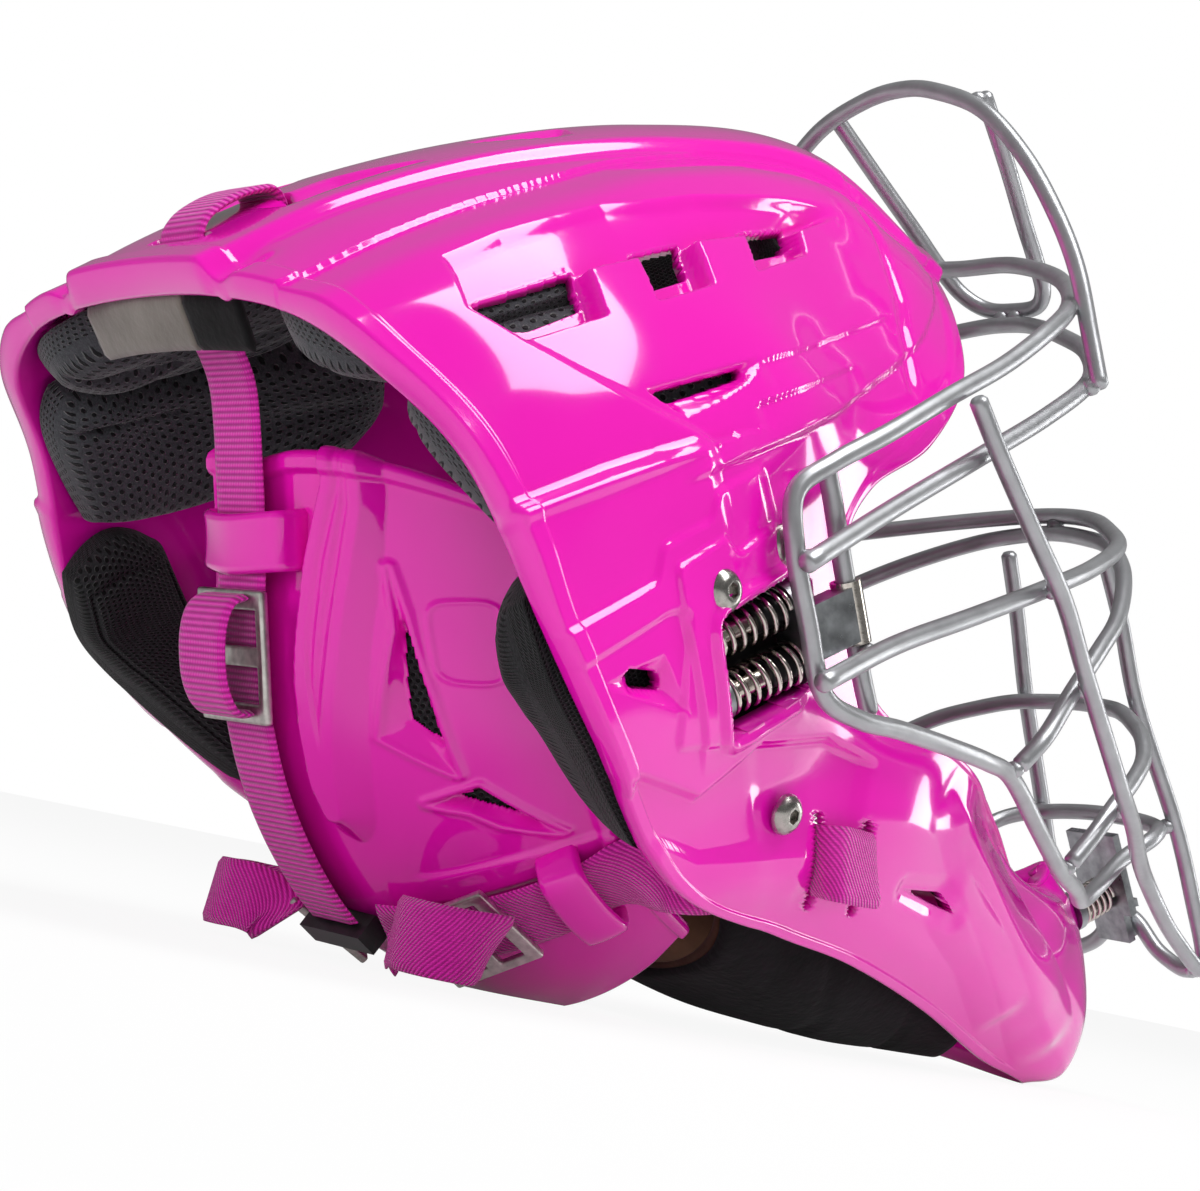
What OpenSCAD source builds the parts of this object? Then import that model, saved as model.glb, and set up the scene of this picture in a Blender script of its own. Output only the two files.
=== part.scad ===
// Baseball catcher helmet: a moulded shell, a wire cage hung on springs, and a nape plate on straps.
// Points are written in millimetres as worn: x forward, y to the wearer's left, z up, with the
// origin midway between the corners of the rear rim. The finished part is then laid to rest on
// its chin and its nape plate.

/* [Overall] */
// length of the shell from the top of the rear rim to the forehead
shell_length = 197; // [180:1:215]
// width of the shell at the ears
shell_width = 224; // [205:1:245]
// height of the shell from the crown to the chin
shell_height = 300; // [275:1:325]
// angle by which the helmet leans back when it rests on chin and nape plate, degrees
rest_pitch = 32.6; // [31:0.1:34]

/* [Shell] */
// wall of the moulded shell
shell_wall = 3.4; // [2.5:0.1:4.5]
// extra thickness of the shell along its two edges
lip_extra = 2.4; // [0.5:0.1:4]
// height of the central rib over the crown
rib_height = 2.6; // [1:0.1:4]
// depth of the vent channel along each side
channel_depth = 4; // [1:0.1:6]
// length of each spring window
window_length = 32; // [29:0.5:34]
// height of each spring window
window_height = 28; // [26.5:0.5:31]
// length of the slot that the top strap passes through
slot_length = 9; // [7:0.5:11]

/* [Cage] */
// diameter of the cage wire
wire_d = 4.4; // [3.8:0.1:5]
// rearward travel of the cage on its springs
cage_travel = 6; // [3:0.5:6]

/* [Suspension] */
// diameter of the shoulder bolts that guide the cage
bolt_d = 5; // [4:0.1:5.6]
// radial clearance of a shoulder bolt in its rear plate
bolt_clearance = 0.05; // [0.02:0.01:0.1]
// distance between the two shoulder bolts of one side
bolt_spacing = 12.4; // [12:0.1:14]
// diameter of the head of a shoulder bolt
bolt_head_d = 8; // [7:0.1:9]
// height of the head of a shoulder bolt
bolt_head_h = 3; // [2:0.1:3.5]
// wire diameter of the springs
spring_wire_d = 1.3; // [1:0.05:1.5]
// outer diameter of the springs
spring_coil_d = 10.4; // [9.6:0.1:11]
// turns of each side spring
spring_turns = 6; // [5:1:7]
// turns of the chin spring
chin_spring_turns = 4; // [3:1:5]
// length of each side spring at rest
spring_length = 21.5; // [20:0.5:22]
// length of the chin spring at rest
chin_spring_length = 12; // [11.5:0.5:13]
// thickness of the plates that the springs press on
end_plate_t = 2.4; // [1.5:0.1:3]
// width of those plates around each bolt
end_plate_w = 11; // [10:0.1:12]
// outer diameter of the black guide sleeves
sleeve_d = 6.8; // [6:0.1:7]
// length of the guide sleeves
sleeve_length = 9; // [4:0.5:10]
// width of the clamp blocks that grip the cage wire
clamp_w = 12; // [10:0.5:14]
// wall of the spring housings
housing_wall = 2.2; // [1.5:0.1:3]

/* [Screws] */
// diameter of the button screw heads
screw_head_d = 10; // [8:0.1:12]
// height of the button screw heads
screw_head_h = 3; // [2:0.1:4]
// diameter of the screw shanks
screw_d = 4; // [3:0.1:5]

/* [Pads] */
// thickness of the crown pads
crown_pad_t = 17; // [12:0.5:20]
// thickness of the temple pads
temple_pad_t = 18; // [12:0.5:20]
// thickness of the forehead pad
forehead_pad_t = 13; // [8:0.5:16]
// thickness of the ear pads
ear_pad_t = 19; // [14:0.5:22]
// thickness of the jaw pads
jaw_pad_t = 10; // [6:0.5:12]
// thickness of the pad inside the nape plate
nape_pad_t = 10; // [6:0.5:12]
// gap between a pad and the wall that carries it
pad_gap = 0.4; // [0.3:0.1:0.8]
// thickness of the leather of the throat cup
cup_wall = 5; // [3:0.5:6]

/* [Nape plate] */
// wall of the nape plate
plate_wall = 3.2; // [2.5:0.1:4]

/* [Straps] */
// width of the top strap
top_strap_w = 21; // [18:0.5:24]
// thickness of the strap webbing
strap_t = 1.8; // [1.4:0.1:2.2]
// width of the elastic side straps
side_strap_w = 19; // [16:0.5:21]
// wire thickness of the metal strap buckles
buckle_t = 2.2; // [1.8:0.1:3]

/* [Hidden] */
kx = shell_length / 197;
ky = shell_width / 224;
kz = shell_height / 300;
// a point as measured, brought to the chosen overall sizes
function w(p) = [p[0] * kx, p[1] * ky, p[2] * kz];
function wl(l) = [for (p = l) w(p)];
function mir(p) = [p[0], -p[1], p[2]];
function rev(l) = [for (i = [len(l) - 1:-1:0]) l[i]];
function unit(v) = v / max(norm(v), 0.000001);
function lim(i, n) = max(0, min(n - 1, i));
function ease(t) = let (c = max(0, min(1, t))) c * c * (3 - 2 * c);

// smooth curve through given points
function cr(a, b, c, d, t) =
    0.5 * (2 * b + (c - a) * t + (2 * a - 5 * b + 4 * c - d) * t * t + (3 * b - a - 3 * c + d) * t * t * t);
function along(p, t) =
    let (n = len(p), i = max(0, min(n - 2, floor(t))))
    cr(i > 0 ? p[i - 1] : 2 * p[0] - p[1], p[i], p[i + 1], i + 2 < n ? p[i + 2] : 2 * p[n - 1] - p[n - 2], t - i);
function curve(p, k) = [for (i = [0:(len(p) - 1) * k]) along(p, i / k)];
function loop_curve(p, k) =
    let (n = len(p))
    [for (i = [0:n - 1]) for (j = [0:k - 1])
        cr(p[(i - 1 + n) % n], p[i], p[(i + 1) % n], p[(i + 2) % n], j / k)];

// one half of the shell, by columns from the crown to the chin; each column runs from the rear
// edge to the face opening
crown_line = [
    [[-14, 0, 57], [24.5, 0, 61.5], [69.5, 0, 60.5], [122, 0, 51.5], [167, 0, 34.5], [198.5, 0, -2]],
    [[-15, 37, 55.5], [23, 38, 59], [66, 38, 56], [114.5, 35.5, 45.5], [155.5, 32.5, 28], [182, 32.5, -6.5]],
    [[-14, 65, 49.5], [19.5, 66, 50], [58, 63.5, 46], [100.5, 58.5, 36], [135.5, 51.5, 18.5], [159, 59, -22]],
    [[-12, 86, 36], [14, 87, 36.5], [48, 84.5, 32.5], [84.5, 77.5, 23], [112.5, 70, 6.5], [131, 74, -30.5]],
    [[-5, 100, 12], [20, 100, 12], [50.5, 96.5, 8], [80, 91, 0.5], [96, 85.5, -12.5], [104.5, 81.5, -32]],
    [[-4, 110.5, -24], [18, 107.5, -25], [42, 102, -26], [62, 97, -29], [76, 92, -34.5], [88.5, 86.5, -41]],
    [[2, 108, -51], [21, 104, -53], [41, 99, -55], [59, 94.5, -57], [73.5, 90, -60], [85, 85.5, -63.5]],
    [[21, 88, -93], [36, 87.5, -92], [53, 85.5, -90], [69, 83, -88], [84, 80.5, -85.5], [96, 77.5, -85]],
    [[56, 70, -122], [70, 73, -119], [85, 74, -116], [99, 73, -113], [112, 70, -109], [123, 67, -107.5]],
    [[84, 57, -144], [97, 60, -141], [110, 61, -137], [123, 59, -133], [134.5, 54, -130], [144, 48.5, -134]],
    [[117, 37, -174], [130, 41, -171], [143, 42, -167], [154, 38, -162], [161, 33, -158], [164, 27, -159.5]],
    [[147, 17, -205], [160, 22, -201], [173, 24, -195], [184, 20, -188], [190, 14, -181], [187, 9, -174]],
    [[172, 0, -228], [186, 0, -232], [197, 0, -222], [202, 0, -205], [203, 0, -188], [199, 0, -174]]];
half_n = len(crown_line);
ring_n = 2 * half_n - 2;
// column number i of the whole ring: 0 at the crown, positive to the left, negative to the right
function col(i) =
    let (k = ((i % ring_n) + ring_n) % ring_n)
    k < half_n ? crown_line[k] : [for (p = crown_line[ring_n - k]) mir(p)];
function base_at(u, v) =
    let (i = floor(u), t = u - i)
    w(cr(along(col(i - 1), v), along(col(i), v), along(col(i + 1), v), along(col(i + 2), v), t));
function normal_at(u, v) =
    let (d = 0.04, a = base_at(u + d, v) - base_at(u - d, v), b = base_at(u, v + d) - base_at(u, v - d))
    unit(cross(b, a));
// the rib stands up over the crown and the vent channel is sunk along each side
function rib_at(u) = rib_height * (1 - ease((abs(u) - 0.75) / 0.22));
function channel_at(u, v) =
    let (c = abs(u), low = 2.35 + 0.12 * v)
    channel_depth * ease((c - 2.02) / 0.16) * (1 - ease((c - low - 0.62) / 0.14))
        * ease((v - 0.55 - 0.5 * (c - 2)) / 0.3) * (1 - ease((v - 3.55) / 0.5));
function skin_at(u, v) = base_at(u, v) + normal_at(u, v) * (rib_at(u) - channel_at(u, v));
function in_at(u, v, d) = base_at(u, v) - normal_at(u, v) * d;

// a closed skin between two grids of points, each grid a list of rows
module slab(a, b, closed_u = false) {
    nu = len(a[0]);
    nv = len(a);
    na = nu * nv;
    pts = [for (r = a) each r, for (r = b) each r];
    last = closed_u ? nu - 1 : nu - 2;
    faces = [
        for (j = [0:nv - 2]) for (i = [0:last])
            let (p = j * nu + i, q = j * nu + (i + 1) % nu, r = p + nu, s = q + nu)
            each [[p, q, s], [p, s, r], [na + p, na + s, na + q], [na + p, na + r, na + s]],
        for (i = [0:last])
            let (q = (i + 1) % nu, e = (nv - 1) * nu)
            each [[i, na + i, na + q], [i, na + q, q],
                  [e + i, e + q, na + e + q], [e + i, na + e + q, na + e + i]],
        if (!closed_u) for (j = [0:nv - 2])
            let (p = j * nu, r = p + nu, x = p + nu - 1, y = r + nu - 1)
            each [[p, r, na + r], [p, na + r, na + p], [x, na + x, na + y], [x, na + y, y]]];
    polyhedron(pts, faces);
}

// a round tube along a path of points
function tangents(p, shut) =
    let (n = len(p))
    [for (i = [0:n - 1]) unit(p[shut ? (i + 1) % n : lim(i + 1, n)] - p[shut ? (i - 1 + n) % n : lim(i - 1, n)])];
function carry(t, i, acc) =
    i == len(t) ? acc : carry(t, i + 1, concat(acc, [unit(acc[i - 1] - t[i] * (acc[i - 1] * t[i]))]));
function rings(p, r, sides, shut) =
    let (t = tangents(p, shut), a = abs(t[0][2]) < 0.8 ? [0, 0, 1] : [1, 0, 0],
         n = carry(t, 1, [unit(cross(t[0], cross(a, t[0])))]))
    [for (i = [0:len(p) - 1]) let (b = cross(t[i], n[i]))
        [for (k = [0:sides - 1]) let (q = 360 * k / sides) p[i] + r * (cos(q) * n[i] + sin(q) * b)]];
module tube(p, d, sides = 7, shut = false) {
    rr = rings(p, d / 2, sides, shut);
    n = len(p);
    pts = [for (r = rr) each r];
    last = shut ? n - 1 : n - 2;
    faces = [
        for (i = [0:last]) for (k = [0:sides - 1])
            let (m = (k + 1) % sides, j = (i + 1) % n,
                 a = i * sides + k, b = i * sides + m, c = j * sides + k, e = j * sides + m)
            each [[a, e, b], [a, c, e]],
        if (!shut) for (k = [1:sides - 2]) [0, k, k + 1],
        if (!shut) for (k = [1:sides - 2]) let (o = (n - 1) * sides) [o, o + k + 1, o + k]];
    polyhedron(pts, faces);
}

// a flat strap along a path; side is the direction of its width at each point
module ribbon(p, side, wide, thick) {
    t = tangents(p, false);
    n = len(p);
    s = [for (i = [0:n - 1]) let (q = len(side) == n ? side[i] : side[0]) unit(q - t[i] * (q * t[i]))];
    f = [for (i = [0:n - 1]) cross(t[i], s[i])];
    a = [for (i = [0:n - 1]) [for (k = [-1, 0, 1]) p[i] + s[i] * k * wide / 2 - f[i] * thick / 2]];
    b = [for (i = [0:n - 1]) [for (k = [-1, 0, 1]) p[i] + s[i] * k * wide / 2 + f[i] * thick / 2]];
    slab(b, a);
}

// a cushion that lies against the inside of a wall: crowned in the middle, drawn in at its sides
function puff(s, t) =
    let (a = pow(abs(2 * s - 1), 3.2), b = pow(abs(2 * t - 1), 3.2))
    pow(max(0, (1 - a) * (1 - b)), 0.42);
function pad_rows(u0, u1, v0, v1, nu, nv, seam, thick, d0, inner) = [
    for (j = [0:nv]) [for (i = [0:nu])
        let (s = i / nu, t = j / nv, a = 2 * s - 1, b = 2 * t - 1,
             sa = 0.5 + 0.5 * a * sqrt(1 - 0.3 * b * b), ta = 0.5 + 0.5 * b * sqrt(1 - 0.3 * a * a),
             u = u0 + (u1 - u0) * sa, v = v0 + (v1 - v0) * ta,
             g = seam < 0 ? 1 : 1 - 0.3 * exp(-pow((t - seam) * 9, 2)))
        in_at(u, v, d0 + (inner ? 0.22 * thick + 0.78 * thick * g * puff(s, t) : 0))]];
module wall_pad(u0, u1, v0, v1, thick, nu = 10, nv = 10, seam = -1, d0 = 0) {
    d = (d0 > 0 ? d0 : shell_wall + lip_extra) + pad_gap;
    slab(pad_rows(u0, u1, v0, v1, nu, nv, seam, thick, d, false),
         pad_rows(u0, u1, v0, v1, nu, nv, seam, thick, d, true));
}

module both() {
    children();
    mirror([0, 1, 0]) children();
}

// the resting pose: leaned back about the lateral axis, then moved so that the lowest points
// stand on z = 0 and the middle of the part is over the origin
rest_x = -128.8;
rest_z = 99.45;
module rest() {
    translate([rest_x * kx, 0, rest_z * kz]) rotate([0, -rest_pitch, 0]) children();
}

// suspension sizes that follow from the ones above
rod_y = 91.2 * ky;
rod_mid = w([0, 0, -51.8])[2];
plate_x = 40 * kx;
spring_x = plate_x + end_plate_t;
bracket_x = spring_x + spring_length;
bracket_t = end_plate_t;
rod_z = [rod_mid + bolt_spacing / 2, rod_mid - bolt_spacing / 2];
window_x0 = plate_x - bolt_head_h - 1;
window_x1 = window_x0 + window_length;
post_y = 96.5 * ky;
post_x = 78.2 * kx;
post_sleeve_d = wire_d + 2.6;
post_tilt = 5.6;
chin_z = w([0, 0, -191])[2];
chin_x = 202 * kx;
chin_plate_x = chin_x + 1.3;
chin_spring_x = chin_plate_x + end_plate_t;
chin_bracket_x = chin_spring_x + chin_spring_length;
// the sleeves stop short of the rear plates when the cage is pushed right back
side_sleeve_l = min(sleeve_length, spring_length - cage_travel - 0.8);
chin_sleeve_l = min(sleeve_length, chin_spring_length - cage_travel - 0.8);

// a cylinder along x
module xcyl(x0, x1, d, y = 0, z = 0) {
    translate([x0, y, z]) rotate([0, 90, 0]) cylinder(h = x1 - x0, d = d, $fn = 48);
}

// a window through the side of the shell, its corners rounded
module side_cut(q, r = 1.2, from = 60) {
    hull() for (p = q)
        translate([p[0] * kx, from * ky, p[1] * kz]) rotate([-90, 0, 0]) cylinder(h = 130 - from, r = r, $fn = 8);
}
vents = [
    [[14, 37.5], [39, 36.5], [42, 34.5], [37, 30], [22, 30.5]],
    [[62, 34.5], [77.5, 32.5], [77.5, 25.5], [57, 27.5]],
    [[103, 29.5], [118, 25], [115, 20.5], [98, 24]],
    [[42, 9.5], [70, 6], [68, 4.5], [45, 6.5]],
    [[8.5, -37.5], [19, -42.5], [18.5, -46.5], [9.5, -42.5]]];
chin_vent = [[98, -130], [114, -138.5], [118, -146.5]];
cheek_slots = [[[69, -96.5], [63.5, -119.5]], [[83.5, -105], [79, -128.5]]];
slot_xs = [-2 * kx, (-2 + slot_length * 2.6) * kx];
module shell_body() {
    us = [for (i = [0:ring_n * 3 - 1]) -12 + i / 3];
    vs = [for (j = [0:11]) 5 * j / 11];
    difference() {
        slab([for (v = vs) [for (u = us) skin_at(u, v)]],
             [for (v = vs) [for (u = us)
                 in_at(u, v, shell_wall + channel_at(u, v) * 0.8
                     + lip_extra * (1 - ease(v / 0.5) + ease((v - 4.5) / 0.5)))]], true);
        both() {
            for (q = vents) side_cut(q);
            hull() for (x = [window_x0 + 3, window_x1 - 3], z = [-1, 1])
                translate([x, 60 * ky, rod_mid + z * (window_height / 2 - 3)])
                    rotate([-90, 0, 0]) cylinder(h = 60, r = 3, $fn = 24);
            for (q = cheek_slots) side_cut(q, 1.6, 40);
            side_cut(chin_vent, 0.8, 30);
            for (s = screw_spots) screw_at(s, screw_d + 0.3, 30, 0.1, 0, 12);
        }
        for (x = slot_xs) hull() for (y = [-1, 1])
            translate([x, y * (top_strap_w / 2 + 0.2), 30 * kz]) cylinder(h = 60, d = 4, $fn = 12);
        // bore that the chin bolt slides back into
        xcyl(chin_x - 30, chin_x + 10, bolt_d + 0.6, 0, chin_z);
    }
}
// screws stand square to the shell: place in the net, by column and row
screw_spots = [[5.24, 2], [5.06, 3.2], [7.05, 2.1]];
module screw_at(s, d, deep, head_d, head_h, sides = 32) {
    p = base_at(s[0], s[1]);
    n = normal_at(s[0], s[1]);
    translate(p) rotate([0, acos(n[2]), atan2(n[1], n[0])]) {
        translate([0, 0, -deep]) cylinder(h = deep + 0.4, d = d, $fn = sides);
        if (head_h > 0) translate([0, 0, 0.4]) difference() {
            intersection() {
                cylinder(h = head_h, d = head_d, $fn = 40);
                translate([0, 0, head_h - head_d * 0.72]) sphere(d = head_d * 1.44, $fn = 48);
            }
            translate([0, 0, head_h - 1.6]) cylinder(h = 4, d = head_d * 0.38, $fn = 6);
        }
    }
}

module shell() { color([0.9, 0.07, 0.7]) rest() shell_body(); }

module side_screws() {
    color([0.6, 0.6, 0.62]) rest() both()
        for (i = [0:2]) screw_at(screw_spots[i], screw_d, i < 2 ? 9 : shell_wall + 2, screw_head_d, screw_head_h);
}

// pads
module crown_pad_left() { color([0.28, 0.29, 0.32]) rest() wall_pad(1.0, 2.8, 0.12, 2.3, crown_pad_t, 9, 10, 0.5, shell_wall + channel_depth); }
module crown_pad_right() { color([0.28, 0.29, 0.32]) rest() mirror([0, 1, 0]) wall_pad(1.0, 2.8, 0.12, 2.3, crown_pad_t, 9, 10, 0.5, shell_wall + channel_depth); }
module temple_pad_left() { color([0.24, 0.25, 0.28]) rest() wall_pad(3.0, 4.5, 0.08, 3.3, temple_pad_t, 9, 10, -1, shell_wall + channel_depth - 0.7); }
module temple_pad_right() { color([0.24, 0.25, 0.28]) rest() mirror([0, 1, 0]) wall_pad(3.0, 4.5, 0.08, 3.3, temple_pad_t, 9, 10, -1, shell_wall + channel_depth - 0.7); }
module forehead_pad() { color([0.12, 0.12, 0.13]) rest() wall_pad(-2.4, 2.4, 3.5, 4.85, forehead_pad_t, 16, 6); }
module ear_pad_left() { color([0.06, 0.06, 0.07]) rest() wall_pad(4.6, 6.9, -0.15, 1.2, ear_pad_t, d0 = shell_wall + lip_extra + 0.6); }
module ear_pad_right() { color([0.06, 0.06, 0.07]) rest() mirror([0, 1, 0]) wall_pad(4.6, 6.9, -0.15, 1.2, ear_pad_t, d0 = shell_wall + lip_extra + 0.6); }
module jaw_pad_left() { color([0.05, 0.05, 0.06]) rest() wall_pad(7.8, 10.2, 2.2, 4.9, jaw_pad_t, 9, 8); }
module jaw_pad_right() { color([0.05, 0.05, 0.06]) rest() mirror([0, 1, 0]) wall_pad(7.8, 10.2, 2.2, 4.9, jaw_pad_t, 9, 8); }

// throat cup: a leather trough under the chin, by stations [x, half width, top z, bottom z]
cup_stations = [[62, 44.8, -120, -146], [82, 43.3, -132, -166], [104, 37.3, -148, -182],
                [126, 28.8, -164, -195], [145, 18.3, -182, -207]];
function cup_rows(grow, top) = [
    for (q = cup_stations) [for (k = [-6:6])
        let (a = 90 + k * 15, c = cos(a), s = sin(a))
        w([q[0], (q[1] - grow) * c, q[2] - top - (q[2] - q[3] - grow - top) * s])]];
module throat_cup() {
    color([0.33, 0.2, 0.12]) rest() slab(cup_rows(0, 0), cup_rows(cup_wall, 0));
}
module throat_cup_rim() {
    color([0.05, 0.05, 0.06]) rest() {
        for (s = [-1, 1])
            tube(curve(wl([for (q = cup_stations) [q[0], s * (q[1] - cup_wall / 2), q[2] + 3.2]]), 3), cup_wall);
    }
}
// soft hook-and-loop tab that hangs inside the rear edge, between the crown pads
module crown_tab() {
    h = [[-10.5, 34, 43.2], [-11.8, 17, 44.4], [-11.8, 0, 44.7]];
    p = curve(wl(concat(h, [for (i = [1:-1:0]) mir(h[i])])), 3);
    color([0.3, 0.28, 0.25]) rest() ribbon(p, [[-0.1, 0, 1]], 13, 2);
}

// spring housing, one each side: a tray behind the window, open to the outside
housing_y0 = rod_y - spring_coil_d / 2 - 1 - housing_wall;
module housing() {
    x0 = window_x0 - cage_travel - 2;
    x1 = window_x1 + 0.5;
    y0 = housing_y0;
    ya = 92.5 * ky;
    yb = max(y0 + 1.2, 84.9 * ky);
    z0 = rod_mid - window_height / 2 - housing_wall;
    z1 = rod_mid + window_height / 2 + housing_wall;
    difference() {
        union() {
            translate([0, 0, z0]) linear_extrude(z1 - z0) polygon([[x0, y0], [x1, y0], [x1, yb], [x0, ya]]);
            for (i = [0, 1]) housing_boss(screw_spots[i], z1);
        }
        translate([0, 0, z0 + housing_wall]) linear_extrude(z1 - z0 - 2 * housing_wall)
            polygon([[x0 + housing_wall, y0 + housing_wall], [x1 + 1, y0 + housing_wall], [x1 + 1, ya + 9],
                     [x0 + housing_wall, ya + 9]]);
        for (i = [0, 1]) screw_at(screw_spots[i], screw_d + 0.2, 30, 0.1, 0);
    }
    // ledge behind the rear plate, cut round the bolt heads
    difference() {
        translate([x0 + housing_wall, housing_y0 + housing_wall, z0 + housing_wall])
            cube([plate_x - x0 - housing_wall, 1.6, z1 - z0 - 2 * housing_wall]);
        for (z = rod_z) xcyl(x0, plate_x + 1, bolt_head_d + 0.6, rod_y, z);
    }
}
module housing_boss(s, z1) {
    p = in_at(s[0], s[1], shell_wall + 1.2);
    n = normal_at(s[0], s[1]);
    translate(p) rotate([0, acos(n[2]), atan2(n[1], n[0])])
        translate([0, 0, -7]) cylinder(h = 7, d = 9, $fn = 32);
    translate([p[0] - 3, housing_y0 + 1, z1 - 1]) cube([6, p[1] - 5.5 - housing_y0, max(2, p[2] - z1 + 1)]);
}
module spring_housing_left() { color([0.05, 0.05, 0.05]) rest() housing(); }
module spring_housing_right() { color([0.05, 0.05, 0.05]) rest() mirror([0, 1, 0]) housing(); }

// rear plate of one side: two eyes joined by a waist, bored for the shoulder bolts
module eyes(x0, t, bore) {
    difference() {
        translate([x0, rod_y, 0]) rotate([90, 0, 90]) linear_extrude(t) union() {
            for (z = rod_z) translate([0, z]) circle(d = end_plate_w, $fn = 48);
            translate([-end_plate_w * 0.36, rod_z[1]]) square([end_plate_w * 0.72, bolt_spacing]);
        }
        if (bore > 0) for (z = rod_z) xcyl(x0 - 1, x0 + t + 1, bore, rod_y, z);
    }
}
module rear_plate_left() { color([0.72, 0.74, 0.76]) rest() eyes(plate_x, end_plate_t, bolt_d + 2 * bolt_clearance); }
module rear_plate_right() { color([0.72, 0.74, 0.76]) rest() mirror([0, 1, 0]) eyes(plate_x, end_plate_t, bolt_d + 2 * bolt_clearance); }

// cage wires, one half of each bar, from its end on the side wire to the middle
rim_half = [[221, 0, -11], [221, 18, -11], [215.5, 37.5, -13], [203.5, 54.5, -14], [188.5, 69, -15],
    [172, 79, -15.5], [148, 87, -17], [123.5, 93.5, -17], [98.5, 99.5, -17.5], [79, 102, -18], [67, 102.5, -20.5],
    [61.5, 104.5, -32], [60, 104.5, -47.5], [60, 103.5, -63.5], [69, 102, -73], [81.5, 98.5, -80.5],
    [97.5, 93.5, -91], [114.5, 86.5, -102.5], [128.5, 77, -113], [139.5, 69.5, -132], [150.5, 61, -148],
    [162.5, 51.5, -159.5], [172, 42, -168], [185, 35.5, -170], [199.5, 30.5, -169.5], [214.5, 28.5, -169.5],
    [223, 20, -170.5], [224, 0, -169.5]];
bar_b = [[59.5, 110, -33.5], [95, 99.5, -33.5], [128, 91.5, -33.5], [159.5, 83.5, -33.5], [185.5, 73, -33],
    [208, 51.5, -32], [221.5, 30, -31], [229.5, 12, -30], [230.5, 0, -29.5]];
bar_d = [[56, 109.5, -59], [86.5, 98.5, -62.5], [117.5, 90.5, -67.5], [147, 83, -72], [173, 72.5, -76.5],
    [197.5, 57.5, -80], [216, 36.5, -82.5], [229.5, 17, -84.5], [233.5, 0, -85]];
bar_e = [[130, 79.5, -110], [140, 79.5, -106.5], [156.5, 73.5, -102.5], [175.5, 66, -99], [190, 59, -97],
    [205.5, 48, -94], [217, 37, -92], [226, 24.5, -90.5], [229.5, 11.5, -89.5], [230.5, 0, -89]];
bar_f = [[154.5, 61.5, -147.5], [164.5, 60.5, -144.5], [177, 57.5, -141.5], [188.5, 53, -140.5], [199.5, 47, -139.5],
    [208, 39.5, -137.5], [214.5, 30.5, -136.5], [220, 21, -136], [223.5, 11, -136.5], [224.5, 0, -136.5]];
arch_half = [[181.5, 80.5, -32.5], [186.5, 76, -22.5], [193.5, 69.5, -7], [198.5, 61.5, 6.5], [205.5, 48, 20],
    [210.5, 32, 32], [213, 14, 38], [214.5, 0, 39.5]];
v_half = [[215, 29, 34.5], [221, 25, 15.5], [226, 21, -1], [229.5, 18.5, -12.5], [232.5, 15.5, -21],
    [234.5, 9.5, -26], [235, 0, -27]];
leg_half = [[128.5, 96.5, -20], [131.5, 96, -34], [138.5, 93, -54], [148, 87.5, -75], [156.5, 79.5, -95],
    [164.5, 72.5, -116], [170.5, 67.5, -133.5], [180.5, 58, -149], [192.5, 44.5, -164], [203, 34, -177],
    [210, 30, -192.5], [215, 29, -203], [218, 29, -209], [220.5, 28.5, -211], [223, 28, -207],
    [224.5, 27, -195], [226, 25.5, -171], [226, 21.5, -137], [228.5, 20, -114], [229.5, 18.5, -95.5]];
post_half = [[81.5, 96.5, -20.3], [81, 96.5, -27.5], [79.5, 96.5, -40], [78.2, 96.5, -52.5], [77.3, 96, -65], [77.2, 95.5, -74.5]];
chin_half = [[224.5, 0, -200.5], [223.5, 5, -202], [222, 11, -208], [221, 17, -211], [220, 22, -212], [219.5, 26, -211.5]];
function whole(h) = concat([for (p = h) p], [for (i = [len(h) - 2:-1:0]) mir(h[i])]);
function whole_ring(h) = concat([for (p = h) p], [for (i = [len(h) - 2:-1:1]) mir(h[i])]);
module bar(h) { tube(curve(wl(whole(h)), 2), wire_d); }
module leg() { tube(curve(wl(leg_half), 2), wire_d); }
post_path = wl(post_half);

grey = [0.6, 0.61, 0.63];
module cage_rim_wire() { color(grey) rest() tube(loop_curve(wl(whole_ring(rim_half)), 2), wire_d, 7, true); }
module cage_bar_brow() { color(grey) rest() bar(bar_b); }
module cage_bar_nose() { color(grey) rest() bar(bar_d); }
module cage_bar_lip() { color(grey) rest() bar(bar_e); }
module cage_bar_chin() { color(grey) rest() bar(bar_f); }
module cage_arch() { color(grey) rest() bar(arch_half); }
module cage_v_wire() { color(grey) rest() bar(v_half); }
module cage_leg_left() { color(grey) rest() leg(); }
module cage_leg_right() { color(grey) rest() mirror([0, 1, 0]) leg(); }
module cage_post_left() { color(grey) rest() tube(curve(post_path, 3), wire_d); }
module cage_post_right() { color(grey) rest() mirror([0, 1, 0]) tube(curve(post_path, 3), wire_d); }
module cage_chin_wire() { color(grey) rest() bar(rev(chin_half)); }

// front bracket of one side: eyes on the bolts, an arm out of the window and a clamp round the post
module front_bracket() {
    eyes(bracket_x, bracket_t, 0);
    y0 = post_y - post_sleeve_d / 2 + 0.9;
    difference() {
        translate([bracket_x, y0, rod_mid - clamp_w / 2]) cube([post_x - bracket_x + 0.4, post_y + 3.4 - y0, clamp_w]);
        on_post() cylinder(h = 40, d = post_sleeve_d + 0.2, center = true, $fn = 48);
    }
}
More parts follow.
